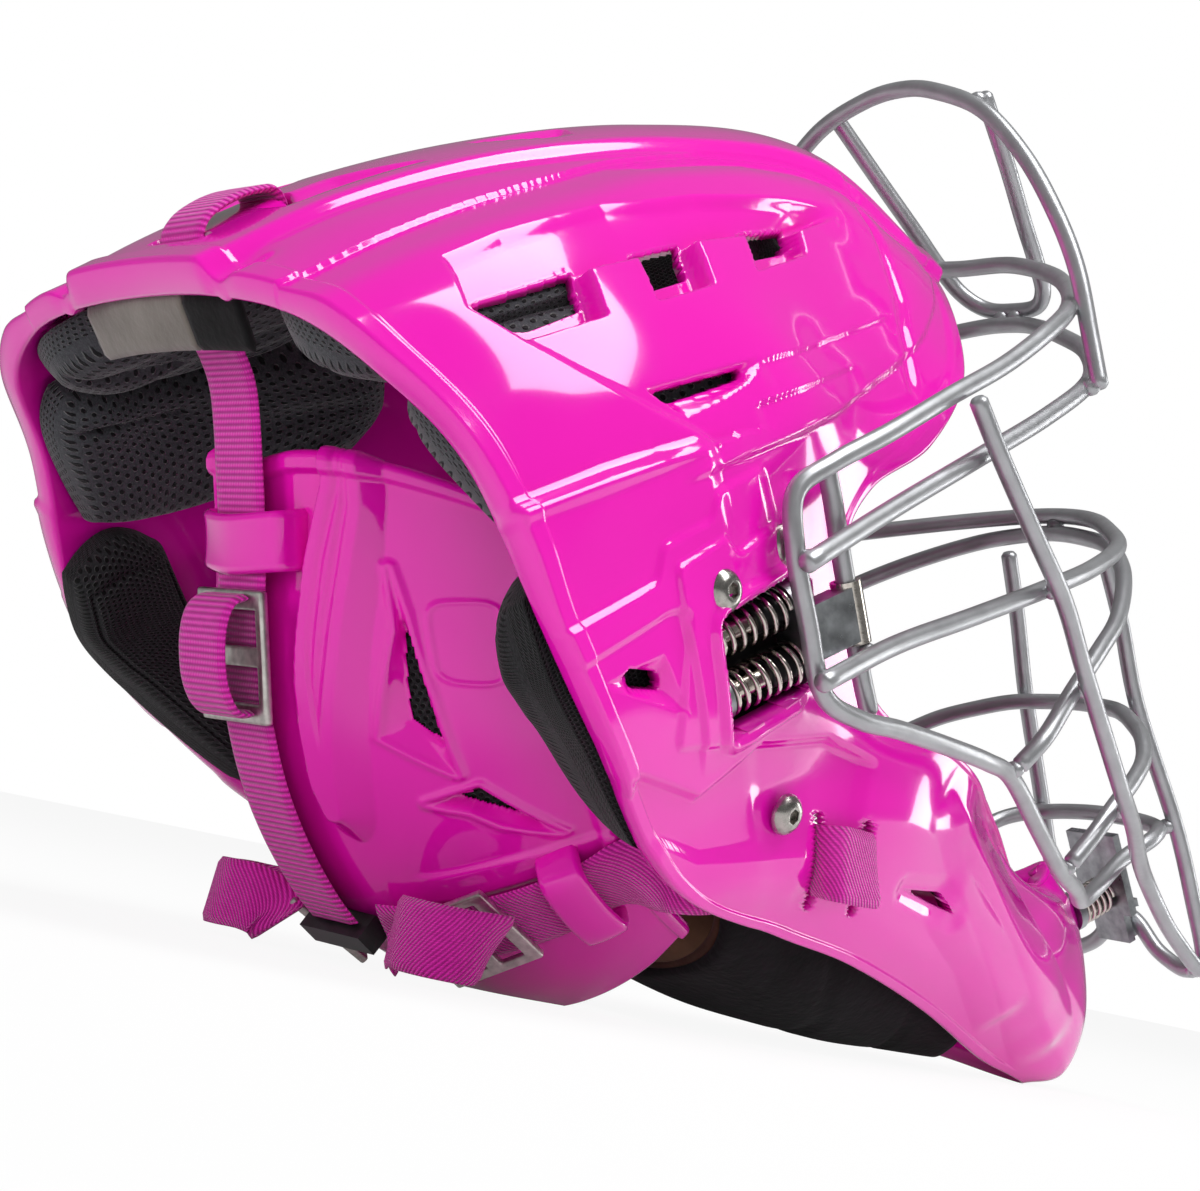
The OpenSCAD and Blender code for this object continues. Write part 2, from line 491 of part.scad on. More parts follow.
// along the wire post that the bracket grips
module on_post() { translate([post_x, post_y, rod_mid]) rotate([0, post_tilt, 0]) children(); }
module front_bracket_left() { color([0.74, 0.76, 0.78]) rest() front_bracket(); }
module front_bracket_right() { color([0.74, 0.76, 0.78]) rest() mirror([0, 1, 0]) front_bracket(); }
module post_sleeves() {
    color([0.7, 0.68, 0.64]) rest() both() difference() {
        on_post() cylinder(h = clamp_w + 2, d = post_sleeve_d, center = true, $fn = 48);
        on_post() cylinder(h = clamp_w * 2, d = wire_d + 0.5, center = true, $fn = 48);
    }
}
module bolts() {
    for (z = rod_z) {
        xcyl(plate_x - 0.3, bracket_x - 0.05, bolt_d, rod_y, z);
        difference() {
            xcyl(plate_x - bolt_head_h - 0.2, plate_x - 0.2, bolt_head_d, rod_y, z);
            translate([plate_x - bolt_head_h - 1, rod_y, z]) rotate([0, 90, 0])
                cylinder(h = 2.4, d = bolt_head_d * 0.45, $fn = 6);
        }
    }
}
module shoulder_bolts_left() { color([0.55, 0.53, 0.5]) rest() bolts(); }
module shoulder_bolts_right() { color([0.55, 0.53, 0.5]) rest() mirror([0, 1, 0]) bolts(); }
module guide_sleeves() {
    color([0.04, 0.04, 0.04]) rest() both() for (z = rod_z) difference() {
        xcyl(bracket_x - side_sleeve_l, bracket_x - 0.05, sleeve_d, rod_y, z);
        xcyl(bracket_x - side_sleeve_l - 1, bracket_x + 1, bolt_d + 0.1, rod_y, z);
    }
}
// a spring as one unbroken wire along x
function coil(x0, len, turns, y, z) =
    let (r = (spring_coil_d - spring_wire_d) / 2, n = turns * 8, e = spring_wire_d / 2 + 0.1)
    [for (i = [0:n]) let (a = 45 * i) [x0 + e + (len - 2 * e) * i / n, y + r * cos(a), z + r * sin(a)]];
side_coil = coil(0, spring_length, spring_turns, 0, 0);
chin_coil = coil(0, chin_spring_length, chin_spring_turns, 0, 0);
function turn_gap(c) = min([for (i = [0:len(c) - 9]) for (k = [6, 7, 8]) norm(c[i + k] - c[i])]) - spring_wire_d;
echo("least gap between turns of a side spring, mm", turn_gap(side_coil));
echo("least gap between turns of the chin spring, mm", turn_gap(chin_coil));
module springs() {
    for (z = rod_z) tube([for (p = side_coil) p + [spring_x, rod_y, z]], spring_wire_d, 6);
}
module springs_left() { color([0.7, 0.66, 0.6]) rest() springs(); }
module springs_right() { color([0.7, 0.66, 0.6]) rest() mirror([0, 1, 0]) springs(); }

// chin unit: the same parts once, on the middle of the chin
module chin_rear_plate() {
    color([0.72, 0.74, 0.76]) rest() difference() {
        xcyl(chin_plate_x, chin_plate_x + end_plate_t, end_plate_w, 0, chin_z);
        xcyl(chin_x - 5, chin_x + 20, bolt_d + 2 * bolt_clearance, 0, chin_z);
    }
}
module chin_spring() {
    color([0.7, 0.66, 0.6]) rest() tube([for (p = chin_coil) p + [chin_spring_x, 0, chin_z]], spring_wire_d, 6);
}
module chin_bolt() { color([0.55, 0.53, 0.5]) rest() xcyl(chin_plate_x - 0.5, chin_bracket_x - 0.05, bolt_d, 0, chin_z); }
module chin_sleeve() {
    color([0.04, 0.04, 0.04]) rest() difference() {
        xcyl(chin_bracket_x - chin_sleeve_l, chin_bracket_x - 0.05, sleeve_d, 0, chin_z);
        xcyl(chin_bracket_x - chin_sleeve_l - 1, chin_bracket_x + 1, bolt_d + 0.1, 0, chin_z);
    }
}
module chin_bracket() {
    cz = w([0, 0, -200.5])[2];
    cx = 224.5 * kx;
    color([0.74, 0.76, 0.78]) rest() difference() {
        union() {
            translate([chin_bracket_x, -9, chin_z - 6]) cube([bracket_t, 18, 24]);
            translate([chin_bracket_x, -clamp_w / 2, cz - 5]) cube([bracket_t, clamp_w, chin_z - cz]);
            translate([chin_bracket_x, -4, cz - 5]) cube([cx - chin_bracket_x + 1.5, 8, 10]);
        }
        translate([cx, -20, cz - 0.5]) rotate([-90, 0, 0]) cylinder(h = 40, d = wire_d + 2.2, $fn = 48);
    }
}

// nape plate, half of it by rows from its top edge down to its lower lip
plate_rows = [
    [[0, 0, 8], [3, 15, 9], [10, 30, 5], [19, 44, -3], [30, 56, -14]],
    [[-6, 0, -12], [-3, 15, -12], [5, 31, -14], [16, 46, -20], [29, 60, -28]],
    [[-14, 0, -36], [-11, 15, -36], [-2, 32, -38], [11, 48, -42], [27, 62, -47]],
    [[-17, 0, -62], [-14, 15, -62], [-4, 33, -63], [9, 48, -64], [25, 62, -66]],
    [[-13, 0, -88], [-10, 14, -88], [0, 31, -88], [13, 46, -87], [28, 58, -86]],
    [[-3, 0, -108], [0, 14, -108], [9, 29, -106], [21, 42, -103], [34, 53, -99]],
    [[14, 0, -126], [16, 13, -126], [23, 27, -123], [33, 38, -119], [43, 47, -113]],
    [[30, 0, -137], [31, 12, -137], [36, 24, -134], [43, 34, -129], [50, 42, -122]]];
function plate_row(r) = let (h = plate_rows[r]) concat([for (i = [4:-1:1]) mir(h[i])], h);
function plate_at(s, t) = w(along([for (r = [0:7]) along(plate_row(r), s)], t));
function plate_normal(s, t) =
    let (d = 0.05, a = plate_at(s + d, t) - plate_at(s - d, t), b = plate_at(s, t + d) - plate_at(s, t - d))
    unit(cross(b, a));
function plate_grid(s0, s1, t0, t1, ns, nt, d, thick) = [
    for (j = [0:nt]) [for (i = [0:ns])
        let (s = s0 + (s1 - s0) * i / ns, t = t0 + (t1 - t0) * j / nt)
        plate_at(s, t) + plate_normal(s, t) * (d + thick * puff(i / ns, j / nt))]];
function hug(s, t, d) = plate_at(s, t) - plate_normal(s, t) * d;
strap_off = 2.4 + strap_t / 2;
// a moulded band over a strap: how far sideways and how far out, as shares of its reach and height
arch = [[-1.2, -0.2], [-1, 0.82], [0, 1], [1, 0.82], [1.2, -0.2]];
arch_height = strap_off + strap_t / 2 + 3.4;
module strap_bridge() {
    reach = (top_strap_w / 2 + 3.5) / 15;
    ribbon(curve([for (q = arch) hug(4 + q[0] * reach, 0.85, q[1] * arch_height)], 2),
           [unit(plate_at(4, 0.5) - plate_at(4, 1.2))], 13, 2.2);
}
module side_keeper() {
    reach = (side_strap_w / 2 + 3.6) / 22.5;
    ribbon(curve([for (q = arch) hug(7.3, 4.8 + q[0] * reach, q[1] * (arch_height + 0.8))], 2),
           [unit(plate_at(7.6, 4.8) - plate_at(7, 4.8))], 9, 2.2);
}
module nape_plate() {
    color([0.9, 0.07, 0.7]) rest() {
        slab(plate_grid(0, 8, 0, 7, 16, 14, plate_wall, 0), plate_grid(0, 8, 0, 7, 16, 14, 0, 0));
        strap_bridge();
        both() side_keeper();
    }
}
module nape_pad() {
    g = plate_wall + pad_gap;
    color([0.06, 0.06, 0.07]) rest()
        slab(plate_grid(0.7, 7.3, 0.5, 6.2, 12, 12, g + 2, nape_pad_t - 2), plate_grid(0.7, 7.3, 0.5, 6.2, 12, 12, g, 0));
}

// straps
function spine(t, d) = plate_at(4, t) - plate_normal(4, t) * d;
top_strap_path = concat(wl([[-4.4, 0, 47.5], [-3.6, 0, 43.5], [-1.4, 0, 39], [0.2, 0, 33], [0, 0, 24]]),
    [for (t = [0.15, 0.6, 1, 1.5, 2, 2.5, 3, 3.5, 4, 4.35]) spine(t, strap_off)]);
module top_strap() { color([0.9, 0.1, 0.68]) rest() ribbon(curve(top_strap_path, 2), [[0, 1, 0]], top_strap_w, strap_t); }
module top_strap_loop() {
    p = wl([[-1.6, 0, 45.5], [-2, 0, 51], [-1.5, 0, 61], [3, 0, 66.5], [10, 0, 69.5], [17, 0, 69], [21, 0, 66], [21.4, 0, 56]]);
    color([0.9, 0.1, 0.68]) rest() ribbon(curve(p, 3), [[0, 1, 0]], top_strap_w - 1, strap_t);
}
module buckle(wide, tall, open) {
    difference() {
        translate([-wide / 2, -tall / 2, -buckle_t / 2]) cube([wide, tall, buckle_t]);
        for (s = [-1, 1]) translate([-open / 2, s * tall * 0.22 - tall * 0.13, -buckle_t])
            cube([open, tall * 0.26, buckle_t * 2]);
    }
}
// a frame whose flat lies across the given outward direction
module stand(p, n, spin) {
    translate(p) rotate([0, acos(n[2]), atan2(n[1], n[0])]) rotate([0, 0, spin]) children();
}
module top_buckle() {
    color([0.75, 0.76, 0.78]) rest()
        stand(spine(1.85, strap_off + strap_t / 2 + buckle_t / 2 + 0.4), -plate_normal(4, 1.85), 0)
            rotate([0, 0, 90]) buckle(top_strap_w + 8, 30, top_strap_w + 1);
}
module top_strap_tail() {
    d = strap_off + strap_t + buckle_t + 1.4;
    p = [for (t = [1.35, 1.6, 1.85, 2.1, 2.35]) spine(t, d + 3 * sin((t - 1.35) * 180))];
    color([0.9, 0.1, 0.68]) rest() ribbon(curve(p, 2), [[0, 1, 0]], top_strap_w, strap_t);
}
module strap_hook() {
    color([0.04, 0.04, 0.04]) rest()
        stand(spine(4.52, 3.7), -plate_normal(4, 4.52), 0) cube([6, top_strap_w + 5, 6.8], center = true);
}
// side strap: from the foot of the nape plate round to the slots in the cheek
side_spots = [[4.9, 4.55], [5.4, 4.65], [5.9, 4.75], [6.5, 4.8], [7.1, 4.8], [7.7, 4.75]];
side_path = concat([for (q = side_spots) hug(q[0], q[1], strap_off + 0.3)],
    wl([[33, 63.5, -98], [39, 68, -100.5], [44.5, 69, -102.5], [49, 69, -104.5]]));
side_edge = concat([for (q = side_spots) unit(plate_at(q[0], q[1] - 0.3) - plate_at(q[0], q[1] + 0.3))],
    [[0.1, 0.1, 1], [0.1, 0.1, 1], [0.15, 0.1, 1], [0.2, 0.1, 1]]);
module side_strap() { ribbon(curve(side_path, 2), curve(side_edge, 2), side_strap_w, strap_t); }
module side_strap_left() { color([0.88, 0.1, 0.66]) rest() side_strap(); }
module side_strap_right() { color([0.88, 0.1, 0.66]) rest() mirror([0, 1, 0]) side_strap(); }
module side_buckle() {
    q = [5.9, 4.75];
    n = -plate_normal(q[0], q[1]);
    stand(hug(q[0], q[1], strap_off + strap_t / 2 + buckle_t / 2 + 0.8), n, 0)
        buckle(side_strap_w + 5, 21, side_strap_w + 0.6);
}
module side_buckle_left() { color([0.75, 0.76, 0.78]) rest() side_buckle(); }
module side_buckle_right() { color([0.75, 0.76, 0.78]) rest() mirror([0, 1, 0]) side_buckle(); }
// loose end of the elastic, a loop that stands on the ground outside the buckle: along the strap, up and out
tail_spots = [[-12.5, 9.4, 4], [-9.3, 12.8, 3.2], [-5.8, 17.6, 5.8], [0, 21.5, 11.1], [8.4, 20.8, 15.3], [13.5, 15.1, 14.6],
    [13.7, 9.9, 10.8], [10.4, 7.9, 6.7], [7.2, 6.8, 2]];
// the way its width lies at each of these points
tail_twist = [[0.7, 0.62, 0.35], [0.02, 0.24, 0.93], [-0.37, -0.37, 0.89], [-0.38, -0.47, 0.83],
    [-0.42, -0.44, 0.83], [-0.52, -0.41, 0.79], [-0.69, -0.26, 0.66], [-0.94, -0.07, 0.31], [-1, 0.17, 0]];
module side_tail() {
    c = hug(5.9, 4.75, strap_off + strap_t + buckle_t + 1.5);
    out = -plate_normal(5.9, 4.75);
    up = unit(plate_at(5.9, 4.45) - plate_at(5.9, 5.05));
    on = unit(plate_at(6.4, 4.75) - plate_at(5.4, 4.75));
    ribbon(curve([for (q = tail_spots) c + on * q[0] + up * q[1] + out * q[2]], 2),
           curve([for (q = tail_twist) on * q[0] + up * q[1] + out * q[2]], 2), side_strap_w * 0.85, strap_t);
}
module side_tail_left() { color([0.88, 0.1, 0.66]) rest() side_tail(); }
module side_tail_right() { color([0.88, 0.1, 0.66]) rest() mirror([0, 1, 0]) side_tail(); }
// outer loop of the side strap, over the cheek through its slots
module cheek_loop() {
    p = wl([[66, 76, -107.5], [66.6, 80.5, -108], [69.5, 82.3, -109.5], [75, 81, -113], [80, 78.8, -116], [81.6, 76.5, -117], [81.6, 72, -117]]);
    ribbon(curve(p, 3), [[0.21, 0, 1]], side_strap_w - 2, strap_t);
}
module cheek_loop_left() { color([0.88, 0.1, 0.66]) rest() cheek_loop(); }
module cheek_loop_right() { color([0.88, 0.1, 0.66]) rest() mirror([0, 1, 0]) cheek_loop(); }

shell();
side_screws();
crown_pad_left();
crown_pad_right();
temple_pad_left();
temple_pad_right();
forehead_pad();
ear_pad_left();
ear_pad_right();
jaw_pad_left();
jaw_pad_right();
throat_cup();
throat_cup_rim();
crown_tab();
spring_housing_left();
spring_housing_right();
rear_plate_left();
rear_plate_right();
chin_rear_plate();
top_strap_loop();
cheek_loop_left();
cheek_loop_right();
cage_rim_wire();
cage_bar_brow();
cage_bar_nose();
cage_bar_lip();
cage_bar_chin();
cage_arch();
cage_v_wire();
cage_leg_left();
cage_leg_right();
cage_post_left();
cage_post_right();
cage_chin_wire();
front_bracket_left();
front_bracket_right();
post_sleeves();
shoulder_bolts_left();
shoulder_bolts_right();
guide_sleeves();
springs_left();
springs_right();
chin_spring();
chin_bolt();
chin_sleeve();
chin_bracket();
nape_plate();
nape_pad();
top_strap();
top_buckle();
top_strap_tail();
strap_hook();
side_strap_left();
side_strap_right();
side_buckle_left();
side_buckle_right();
side_tail_left();
side_tail_right();
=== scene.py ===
"""Looks of the baseball catcher helmet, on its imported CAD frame.

Points of the object are in millimetres as worn (x forward, y to the wearer's left, z up), the
same points that the CAD source uses; rest() lays them down as the finished part lies, in metres.
"""
import math
import bpy
import numpy as np
from mathutils import Matrix, Vector


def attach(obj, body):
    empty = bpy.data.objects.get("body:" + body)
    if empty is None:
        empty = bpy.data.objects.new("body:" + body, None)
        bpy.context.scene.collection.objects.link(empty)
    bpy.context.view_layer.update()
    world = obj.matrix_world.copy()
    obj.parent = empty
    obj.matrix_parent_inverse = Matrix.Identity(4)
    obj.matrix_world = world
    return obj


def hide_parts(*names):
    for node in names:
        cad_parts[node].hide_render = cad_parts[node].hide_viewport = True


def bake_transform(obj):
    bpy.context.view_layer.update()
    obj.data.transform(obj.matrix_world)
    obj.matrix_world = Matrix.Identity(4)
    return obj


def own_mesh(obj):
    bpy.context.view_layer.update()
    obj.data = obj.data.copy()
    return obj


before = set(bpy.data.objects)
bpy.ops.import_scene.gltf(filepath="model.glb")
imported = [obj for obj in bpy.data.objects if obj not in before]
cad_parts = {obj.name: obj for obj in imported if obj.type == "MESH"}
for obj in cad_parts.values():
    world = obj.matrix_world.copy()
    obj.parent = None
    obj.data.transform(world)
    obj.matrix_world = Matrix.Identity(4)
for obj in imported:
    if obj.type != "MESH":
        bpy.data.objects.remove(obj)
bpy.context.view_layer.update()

# driving dimensions, millimetres and degrees, as in the CAD source
REST_PITCH = 32.6
REST_X, REST_Z = -128.8, 99.45
SHELL_WALL, LIP_EXTRA, RIB_HEIGHT, CHANNEL_DEPTH, RIM_BAND = 3.4, 2.4, 2.6, 4.0, 0.8
WIRE_D = 4.4
SPRING_WIRE_D, SPRING_COIL_D, SPRING_TURNS, CHIN_TURNS = 1.3, 10.4, 6, 4
SPRING_LENGTH, CHIN_SPRING_LENGTH, END_PLATE_T = 21.5, 12.0, 2.4
BOLT_SPACING, ROD_Y, ROD_MID, PLATE_X, CHIN_Z, CHIN_PLATE_X = 12.4, 91.2, -51.8, 40.0, -191.0, 203.3
STRAP_T, TOP_STRAP_W, SIDE_STRAP_W, BUCKLE_T, PLATE_WALL, PAD_GAP = 1.8, 21.0, 19.0, 2.2, 3.2, 0.4
CROWN_PAD_T, TEMPLE_PAD_T, FOREHEAD_PAD_T, EAR_PAD_T, JAW_PAD_T, NAPE_PAD_T = 17, 18, 13, 19, 10, 10
CUP_WALL = 5.0
STRAP_OFF = 2.4 + STRAP_T / 2

TILT = math.radians(REST_PITCH)


def rest(p):
    """Worn points in millimetres to the lying part in metres."""
    p = np.asarray(p, float)
    c, s = math.cos(TILT), math.sin(TILT)
    x, y, z = p[..., 0], p[..., 1], p[..., 2]
    return np.stack([x * c - z * s + REST_X, y, x * s + z * c + REST_Z], -1) / 1000


def mirror(p):
    return np.asarray(p, float) * [1, -1, 1]


SIDES = (("left", np.asarray), ("right", mirror))


def ease(t):
    t = np.clip(t, 0, 1)
    return t * t * (3 - 2 * t)


def unit(v):
    v = np.asarray(v, float)
    return v / np.maximum(np.linalg.norm(v, axis=-1, keepdims=True), 1e-9)


# camera
CAMERA_AT = Vector((-0.4550, -0.5892, 0.0259))
CAMERA_RIGHT = Vector((0.7849, -0.5874, 0.1970))
CAMERA_UP = Vector((-0.2180, 0.0359, 0.9753))
CAMERA_LENS = 89.6


def make_camera():
    data = bpy.data.cameras.new("camera")
    data.lens, data.sensor_width, data.sensor_fit = CAMERA_LENS, 36, "HORIZONTAL"
    data.clip_start, data.clip_end = 0.01, 20
    cam = bpy.data.objects.new("camera", data)
    bpy.context.scene.collection.objects.link(cam)
    right = CAMERA_RIGHT.normalized()
    back = right.cross(CAMERA_UP).normalized()
    up = back.cross(right)
    cam.matrix_world = Matrix.Translation(CAMERA_AT) @ Matrix((right, up, back)).transposed().to_4x4()
    bpy.context.scene.camera = cam


make_camera()


# materials
# rows of the mesh holes stand this many pitches apart, as in a net of equal triangles
ROW_PITCH, ROW_PITCH_SQUARED = 0.866, 0.75


class Nodes:
    """A short way to wire up one material."""

    def __init__(self, name, **sockets):
        self.mat = bpy.data.materials.new(name)
        self.mat.use_nodes = True
        self.tree = self.mat.node_tree
        self.shader = self.tree.nodes["Principled BSDF"]
        for key, value in sockets.items():
            self.shader.inputs[key.replace("_", " ").title().replace("Ior", "IOR")].default_value = value

    def add(self, kind, inputs=(), **props):
        node = self.tree.nodes.new(kind)
        for key, value in props.items():
            setattr(node, key, value)
        for key, value in dict(inputs).items():
            if isinstance(value, bpy.types.NodeSocket):
                self.tree.links.new(value, node.inputs[key])
            else:
                node.inputs[key].default_value = value
        return node

    def link(self, out, name):
        self.tree.links.new(out, self.shader.inputs[name])

    def noise(self, scale, detail):
        coords = self.add("ShaderNodeTexCoord").outputs["Object"]
        node = self.add("ShaderNodeTexNoise", {"Vector": coords, "Scale": scale, "Detail": detail})
        return node.outputs["Fac"]

    def ramp(self, fac, low, high, a=0.3, b=0.7):
        node = self.add("ShaderNodeValToRGB", {"Fac": fac})
        for stop, place, color in zip(node.color_ramp.elements, (a, b), (low, high)):
            stop.position = place
            stop.color = (*color, 1)
        return node.outputs["Color"]

    def math(self, op, a, b=0.0):
        return self.add("ShaderNodeMath", {0: a, 1: b}, operation=op).outputs[0]

    def bump(self, height, distance, strength=1.0, after=None):
        inputs = {"Height": height, "Distance": distance, "Strength": strength}
        if after is not None:
            inputs["Normal"] = after
        normal = self.add("ShaderNodeBump", inputs).outputs["Normal"]
        self.link(normal, "Normal")
        return normal

    def uv(self):
        split = self.add("ShaderNodeSeparateXYZ", {0: self.add("ShaderNodeTexCoord").outputs["UV"]})
        return split.outputs[0], split.outputs[1]

    def dots(self, pitch, size):
        """Rows of round dots in UV metres, every second row shifted: 1 in a dot, 0 between."""
        u, v = self.uv()
        row = self.math("DIVIDE", v, pitch * ROW_PITCH)
        shift = self.math("MULTIPLY", self.math("MODULO", self.math("FLOOR", row), 2.0), 0.5)
        column = self.math("ADD", self.math("DIVIDE", u, pitch), shift)
        a = self.math("SUBTRACT", self.math("FRACT", column), 0.5)
        b = self.math("SUBTRACT", self.math("FRACT", row), 0.5)
        upright = self.math("MULTIPLY", self.math("MULTIPLY", b, b), ROW_PITCH_SQUARED)
        far = self.math("ADD", self.math("MULTIPLY", a, a), upright)
        edge = self.add("ShaderNodeMapRange", {"Value": far, "From Min": (size * 1.25) ** 2,
                                               "From Max": (size * 0.75) ** 2, "To Min": 0.0, "To Max": 1.0})
        edge.interpolation_type = "SMOOTHSTEP"
        return edge.outputs[0]


PINK = (0.80, 0.006, 0.44)
PINK_DEEP = (0.77, 0.005, 0.42)


def shell_gloss():
    n = Nodes("shell_gloss", roughness=0.1, coat_weight=0.5, coat_roughness=0.02, ior=1.5)
    n.link(n.ramp(n.noise(9, 2), PINK_DEEP, PINK), "Base Color")
    n.link(n.ramp(n.noise(60, 4), (0.07, 0.07, 0.07), (0.12, 0.12, 0.12)), "Roughness")
    n.bump(n.noise(45, 1), 0.00006)
    return n.mat


def wire_silver():
    n = Nodes("wire_silver", metallic=0.7, roughness=0.34, base_color=(0.3, 0.31, 0.33, 1))
    n.link(n.ramp(n.noise(160, 3), (0.36, 0.365, 0.38), (0.42, 0.43, 0.445)), "Base Color")
    n.link(n.ramp(n.noise(500, 3), (0.3, 0.3, 0.3), (0.38, 0.38, 0.38)), "Roughness")
    n.bump(n.noise(1500, 2), 0.00001)
    return n.mat


def metal(name, dark, light, rough, grain=700):
    n = Nodes(name, metallic=1.0, roughness=rough)
    n.link(n.ramp(n.noise(grain, 4), dark, light), "Base Color")
    n.link(n.ramp(n.noise(grain * 0.6, 3), (rough * 0.8,) * 3, (rough * 1.3,) * 3), "Roughness")
    n.bump(n.noise(grain * 3, 2), 0.000015)
    return n.mat


def black_plastic():
    n = Nodes("black_plastic", roughness=0.38, specular_ior_level=0.4)
    n.link(n.ramp(n.noise(300, 3), (0.006, 0.006, 0.006), (0.014, 0.014, 0.015)), "Base Color")
    n.bump(n.noise(1800, 2), 0.00004)
    return n.mat


def mesh_fabric(name, dark, light, hole, pitch, size, depth, sheen=0.25):
    """Knitted mesh: a soft knit with rows of small round holes."""
    n = Nodes(name, roughness=0.85, specular_ior_level=0.25, sheen_weight=sheen, sheen_roughness=0.4)
    dots = n.dots(pitch, size)
    knit = n.ramp(n.noise(1500, 3), dark, light)
    mix = n.add("ShaderNodeMix", data_type="RGBA")
    n.tree.links.new(dots, mix.inputs["Factor"])
    n.tree.links.new(knit, mix.inputs["A"])
    mix.inputs["B"].default_value = (*hole, 1)
    n.link(mix.outputs["Result"], "Base Color")
    soft = n.bump(n.noise(35, 3), 0.0012, 0.5)
    fine = n.bump(n.noise(2400, 2), 0.00018, 1.0, soft)
    n.bump(n.math("SUBTRACT", 1.0, dots), depth, 1.0, fine)
    return n.mat


def suede(name, dark, light, grain=420, sheen=0.3):
    n = Nodes(name, roughness=0.9, specular_ior_level=0.15, sheen_weight=sheen, sheen_roughness=0.5)
    n.link(n.ramp(n.noise(60, 6), dark, light), "Base Color")
    n.bump(n.noise(grain, 5), 0.0004, 0.8)
    return n.mat


def webbing(name, dark, light, rib, slant):
    """Woven strap: ribs across its length, with slanting threads when slant is not 0. Its colour holds
    painted shade: darker in the valleys between the ribs, lighter on the ribs, with random tone from noise.
    """
    n = Nodes(name, roughness=0.55, specular_ior_level=0.35, sheen_weight=0.3, sheen_roughness=0.4)
    u, v = n.uv()
    across = n.math("MULTIPLY", v, slant)
    wave = n.math("SINE", n.math("MULTIPLY", n.math("ADD", u, across), 2 * math.pi / rib))
    cross = n.math("ABSOLUTE", n.math("SINE", n.math("MULTIPLY", v, math.pi / (rib * 0.55))))
    high = n.math("ADD", n.math("MULTIPLY", wave, 0.5), 0.5)
    weave = n.math("MULTIPLY", high, n.math("ADD", n.math("MULTIPLY", cross, 0.45), 0.55))
    # painted shade: the valleys of the weave are coloured darker than the ribs; the noise adds random tone
    painted_valley_shade_and_tone = n.math("ADD", n.math("MULTIPLY", weave, 0.75), n.math("MULTIPLY", n.noise(700, 3), 0.3))
    n.link(n.ramp(painted_valley_shade_and_tone, dark, light, 0.15, 0.75), "Base Color")
    n.bump(weave, 0.00045, 0.9)
    return n.mat


MATERIALS = {
    "shell_gloss": shell_gloss(),
    "cage_wire": wire_silver(),
    "screw_steel": metal("screw_steel", (0.3, 0.29, 0.27), (0.46, 0.44, 0.41), 0.24),
    "bolt_steel": metal("bolt_steel", (0.4, 0.36, 0.31), (0.62, 0.57, 0.5), 0.18),
    "spring_wire": metal("spring_wire", (0.5, 0.46, 0.41), (0.72, 0.68, 0.62), 0.16),
    "zinc_steel": metal("zinc_steel", (0.24, 0.25, 0.26), (0.46, 0.48, 0.5), 0.34, 260),
    "buckle_steel": metal("buckle_steel", (0.5, 0.49, 0.46), (0.76, 0.75, 0.7), 0.38, 500),
    "black_plastic": black_plastic(),
    "grey_mesh_pad": mesh_fabric("grey_mesh_pad", (0.03, 0.032, 0.036), (0.06, 0.063, 0.07),
                                 (0.004, 0.004, 0.005), 0.0033, 0.24, 0.0009),
    "black_mesh_pad": mesh_fabric("black_mesh_pad", (0.008, 0.008, 0.009), (0.022, 0.022, 0.024),
                                  (0.001, 0.001, 0.001), 0.0017, 0.3, 0.0005, 0.1),
    "black_suede": suede("black_suede", (0.004, 0.004, 0.004), (0.012, 0.012, 0.013), 420, 0.06),
    "brown_leather": suede("brown_leather", (0.04, 0.016, 0.008), (0.11, 0.05, 0.028), 160, 0.1),
    "tan_suede": suede("tan_suede", (0.12, 0.105, 0.09), (0.2, 0.18, 0.16)),
    # each webbing's dark colour is painted shade in the valleys between its ribs, its light colour the lit
    # ribs
    "ribbed_webbing": webbing("ribbed_webbing", (0.42, 0.002, 0.23), (0.88, 0.03, 0.52), 0.0014, 0.0),
    "twill_webbing": webbing("twill_webbing", (0.4, 0.002, 0.22), (0.86, 0.025, 0.5), 0.0011, 0.75),
}


# mesh helpers
def piece(name, points, faces, material, body, stands_for=(), uvs=None, smooth=True):
    """A mesh piece from points as worn, in millimetres, that rides on a body."""
    mesh = bpy.data.meshes.new(name)
    mesh.from_pydata([tuple(p) for p in rest(points).reshape(-1, 3)], [], faces)
    if uvs is not None:
        layer = mesh.uv_layers.new(name="flat")
        flat = np.asarray(uvs, float).reshape(-1, 2)
        index = np.empty(len(mesh.loops), int)
        mesh.loops.foreach_get("vertex_index", index)
        layer.data.foreach_set("uv", flat[index].ravel())
    mesh.validate()
    mesh.update()
    obj = bpy.data.objects.new(name, mesh)
    bpy.context.scene.collection.objects.link(obj)
    mesh.materials.append(MATERIALS[material])
    if smooth:
        mesh.shade_smooth()
    if body:
        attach(obj, body)
    if stands_for:
        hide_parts(*stands_for)
    return obj


def grid_faces(nu, nv, start=0, closed=False, flip=False):
    last = nu if closed else nu - 1
    j, i = np.meshgrid(np.arange(nv - 1), np.arange(last), indexing="ij")
    a = j * nu + i
    b = j * nu + (i + 1) % nu
    q = np.stack([a, b, b + nu, a + nu], -1).reshape(-1, 4) + start
    return q[:, ::-1] if flip else q


def rim_of(nu, nv):
    """Rows and columns of the points round the edge of a grid."""
    loop = [(0, i) for i in range(nu - 1)] + [(j, nu - 1) for j in range(nv - 1)]
    loop += [(nv - 1, i) for i in range(nu - 1, 0, -1)] + [(j, 0) for j in range(nv - 1, 0, -1)]
    return np.array(loop).T


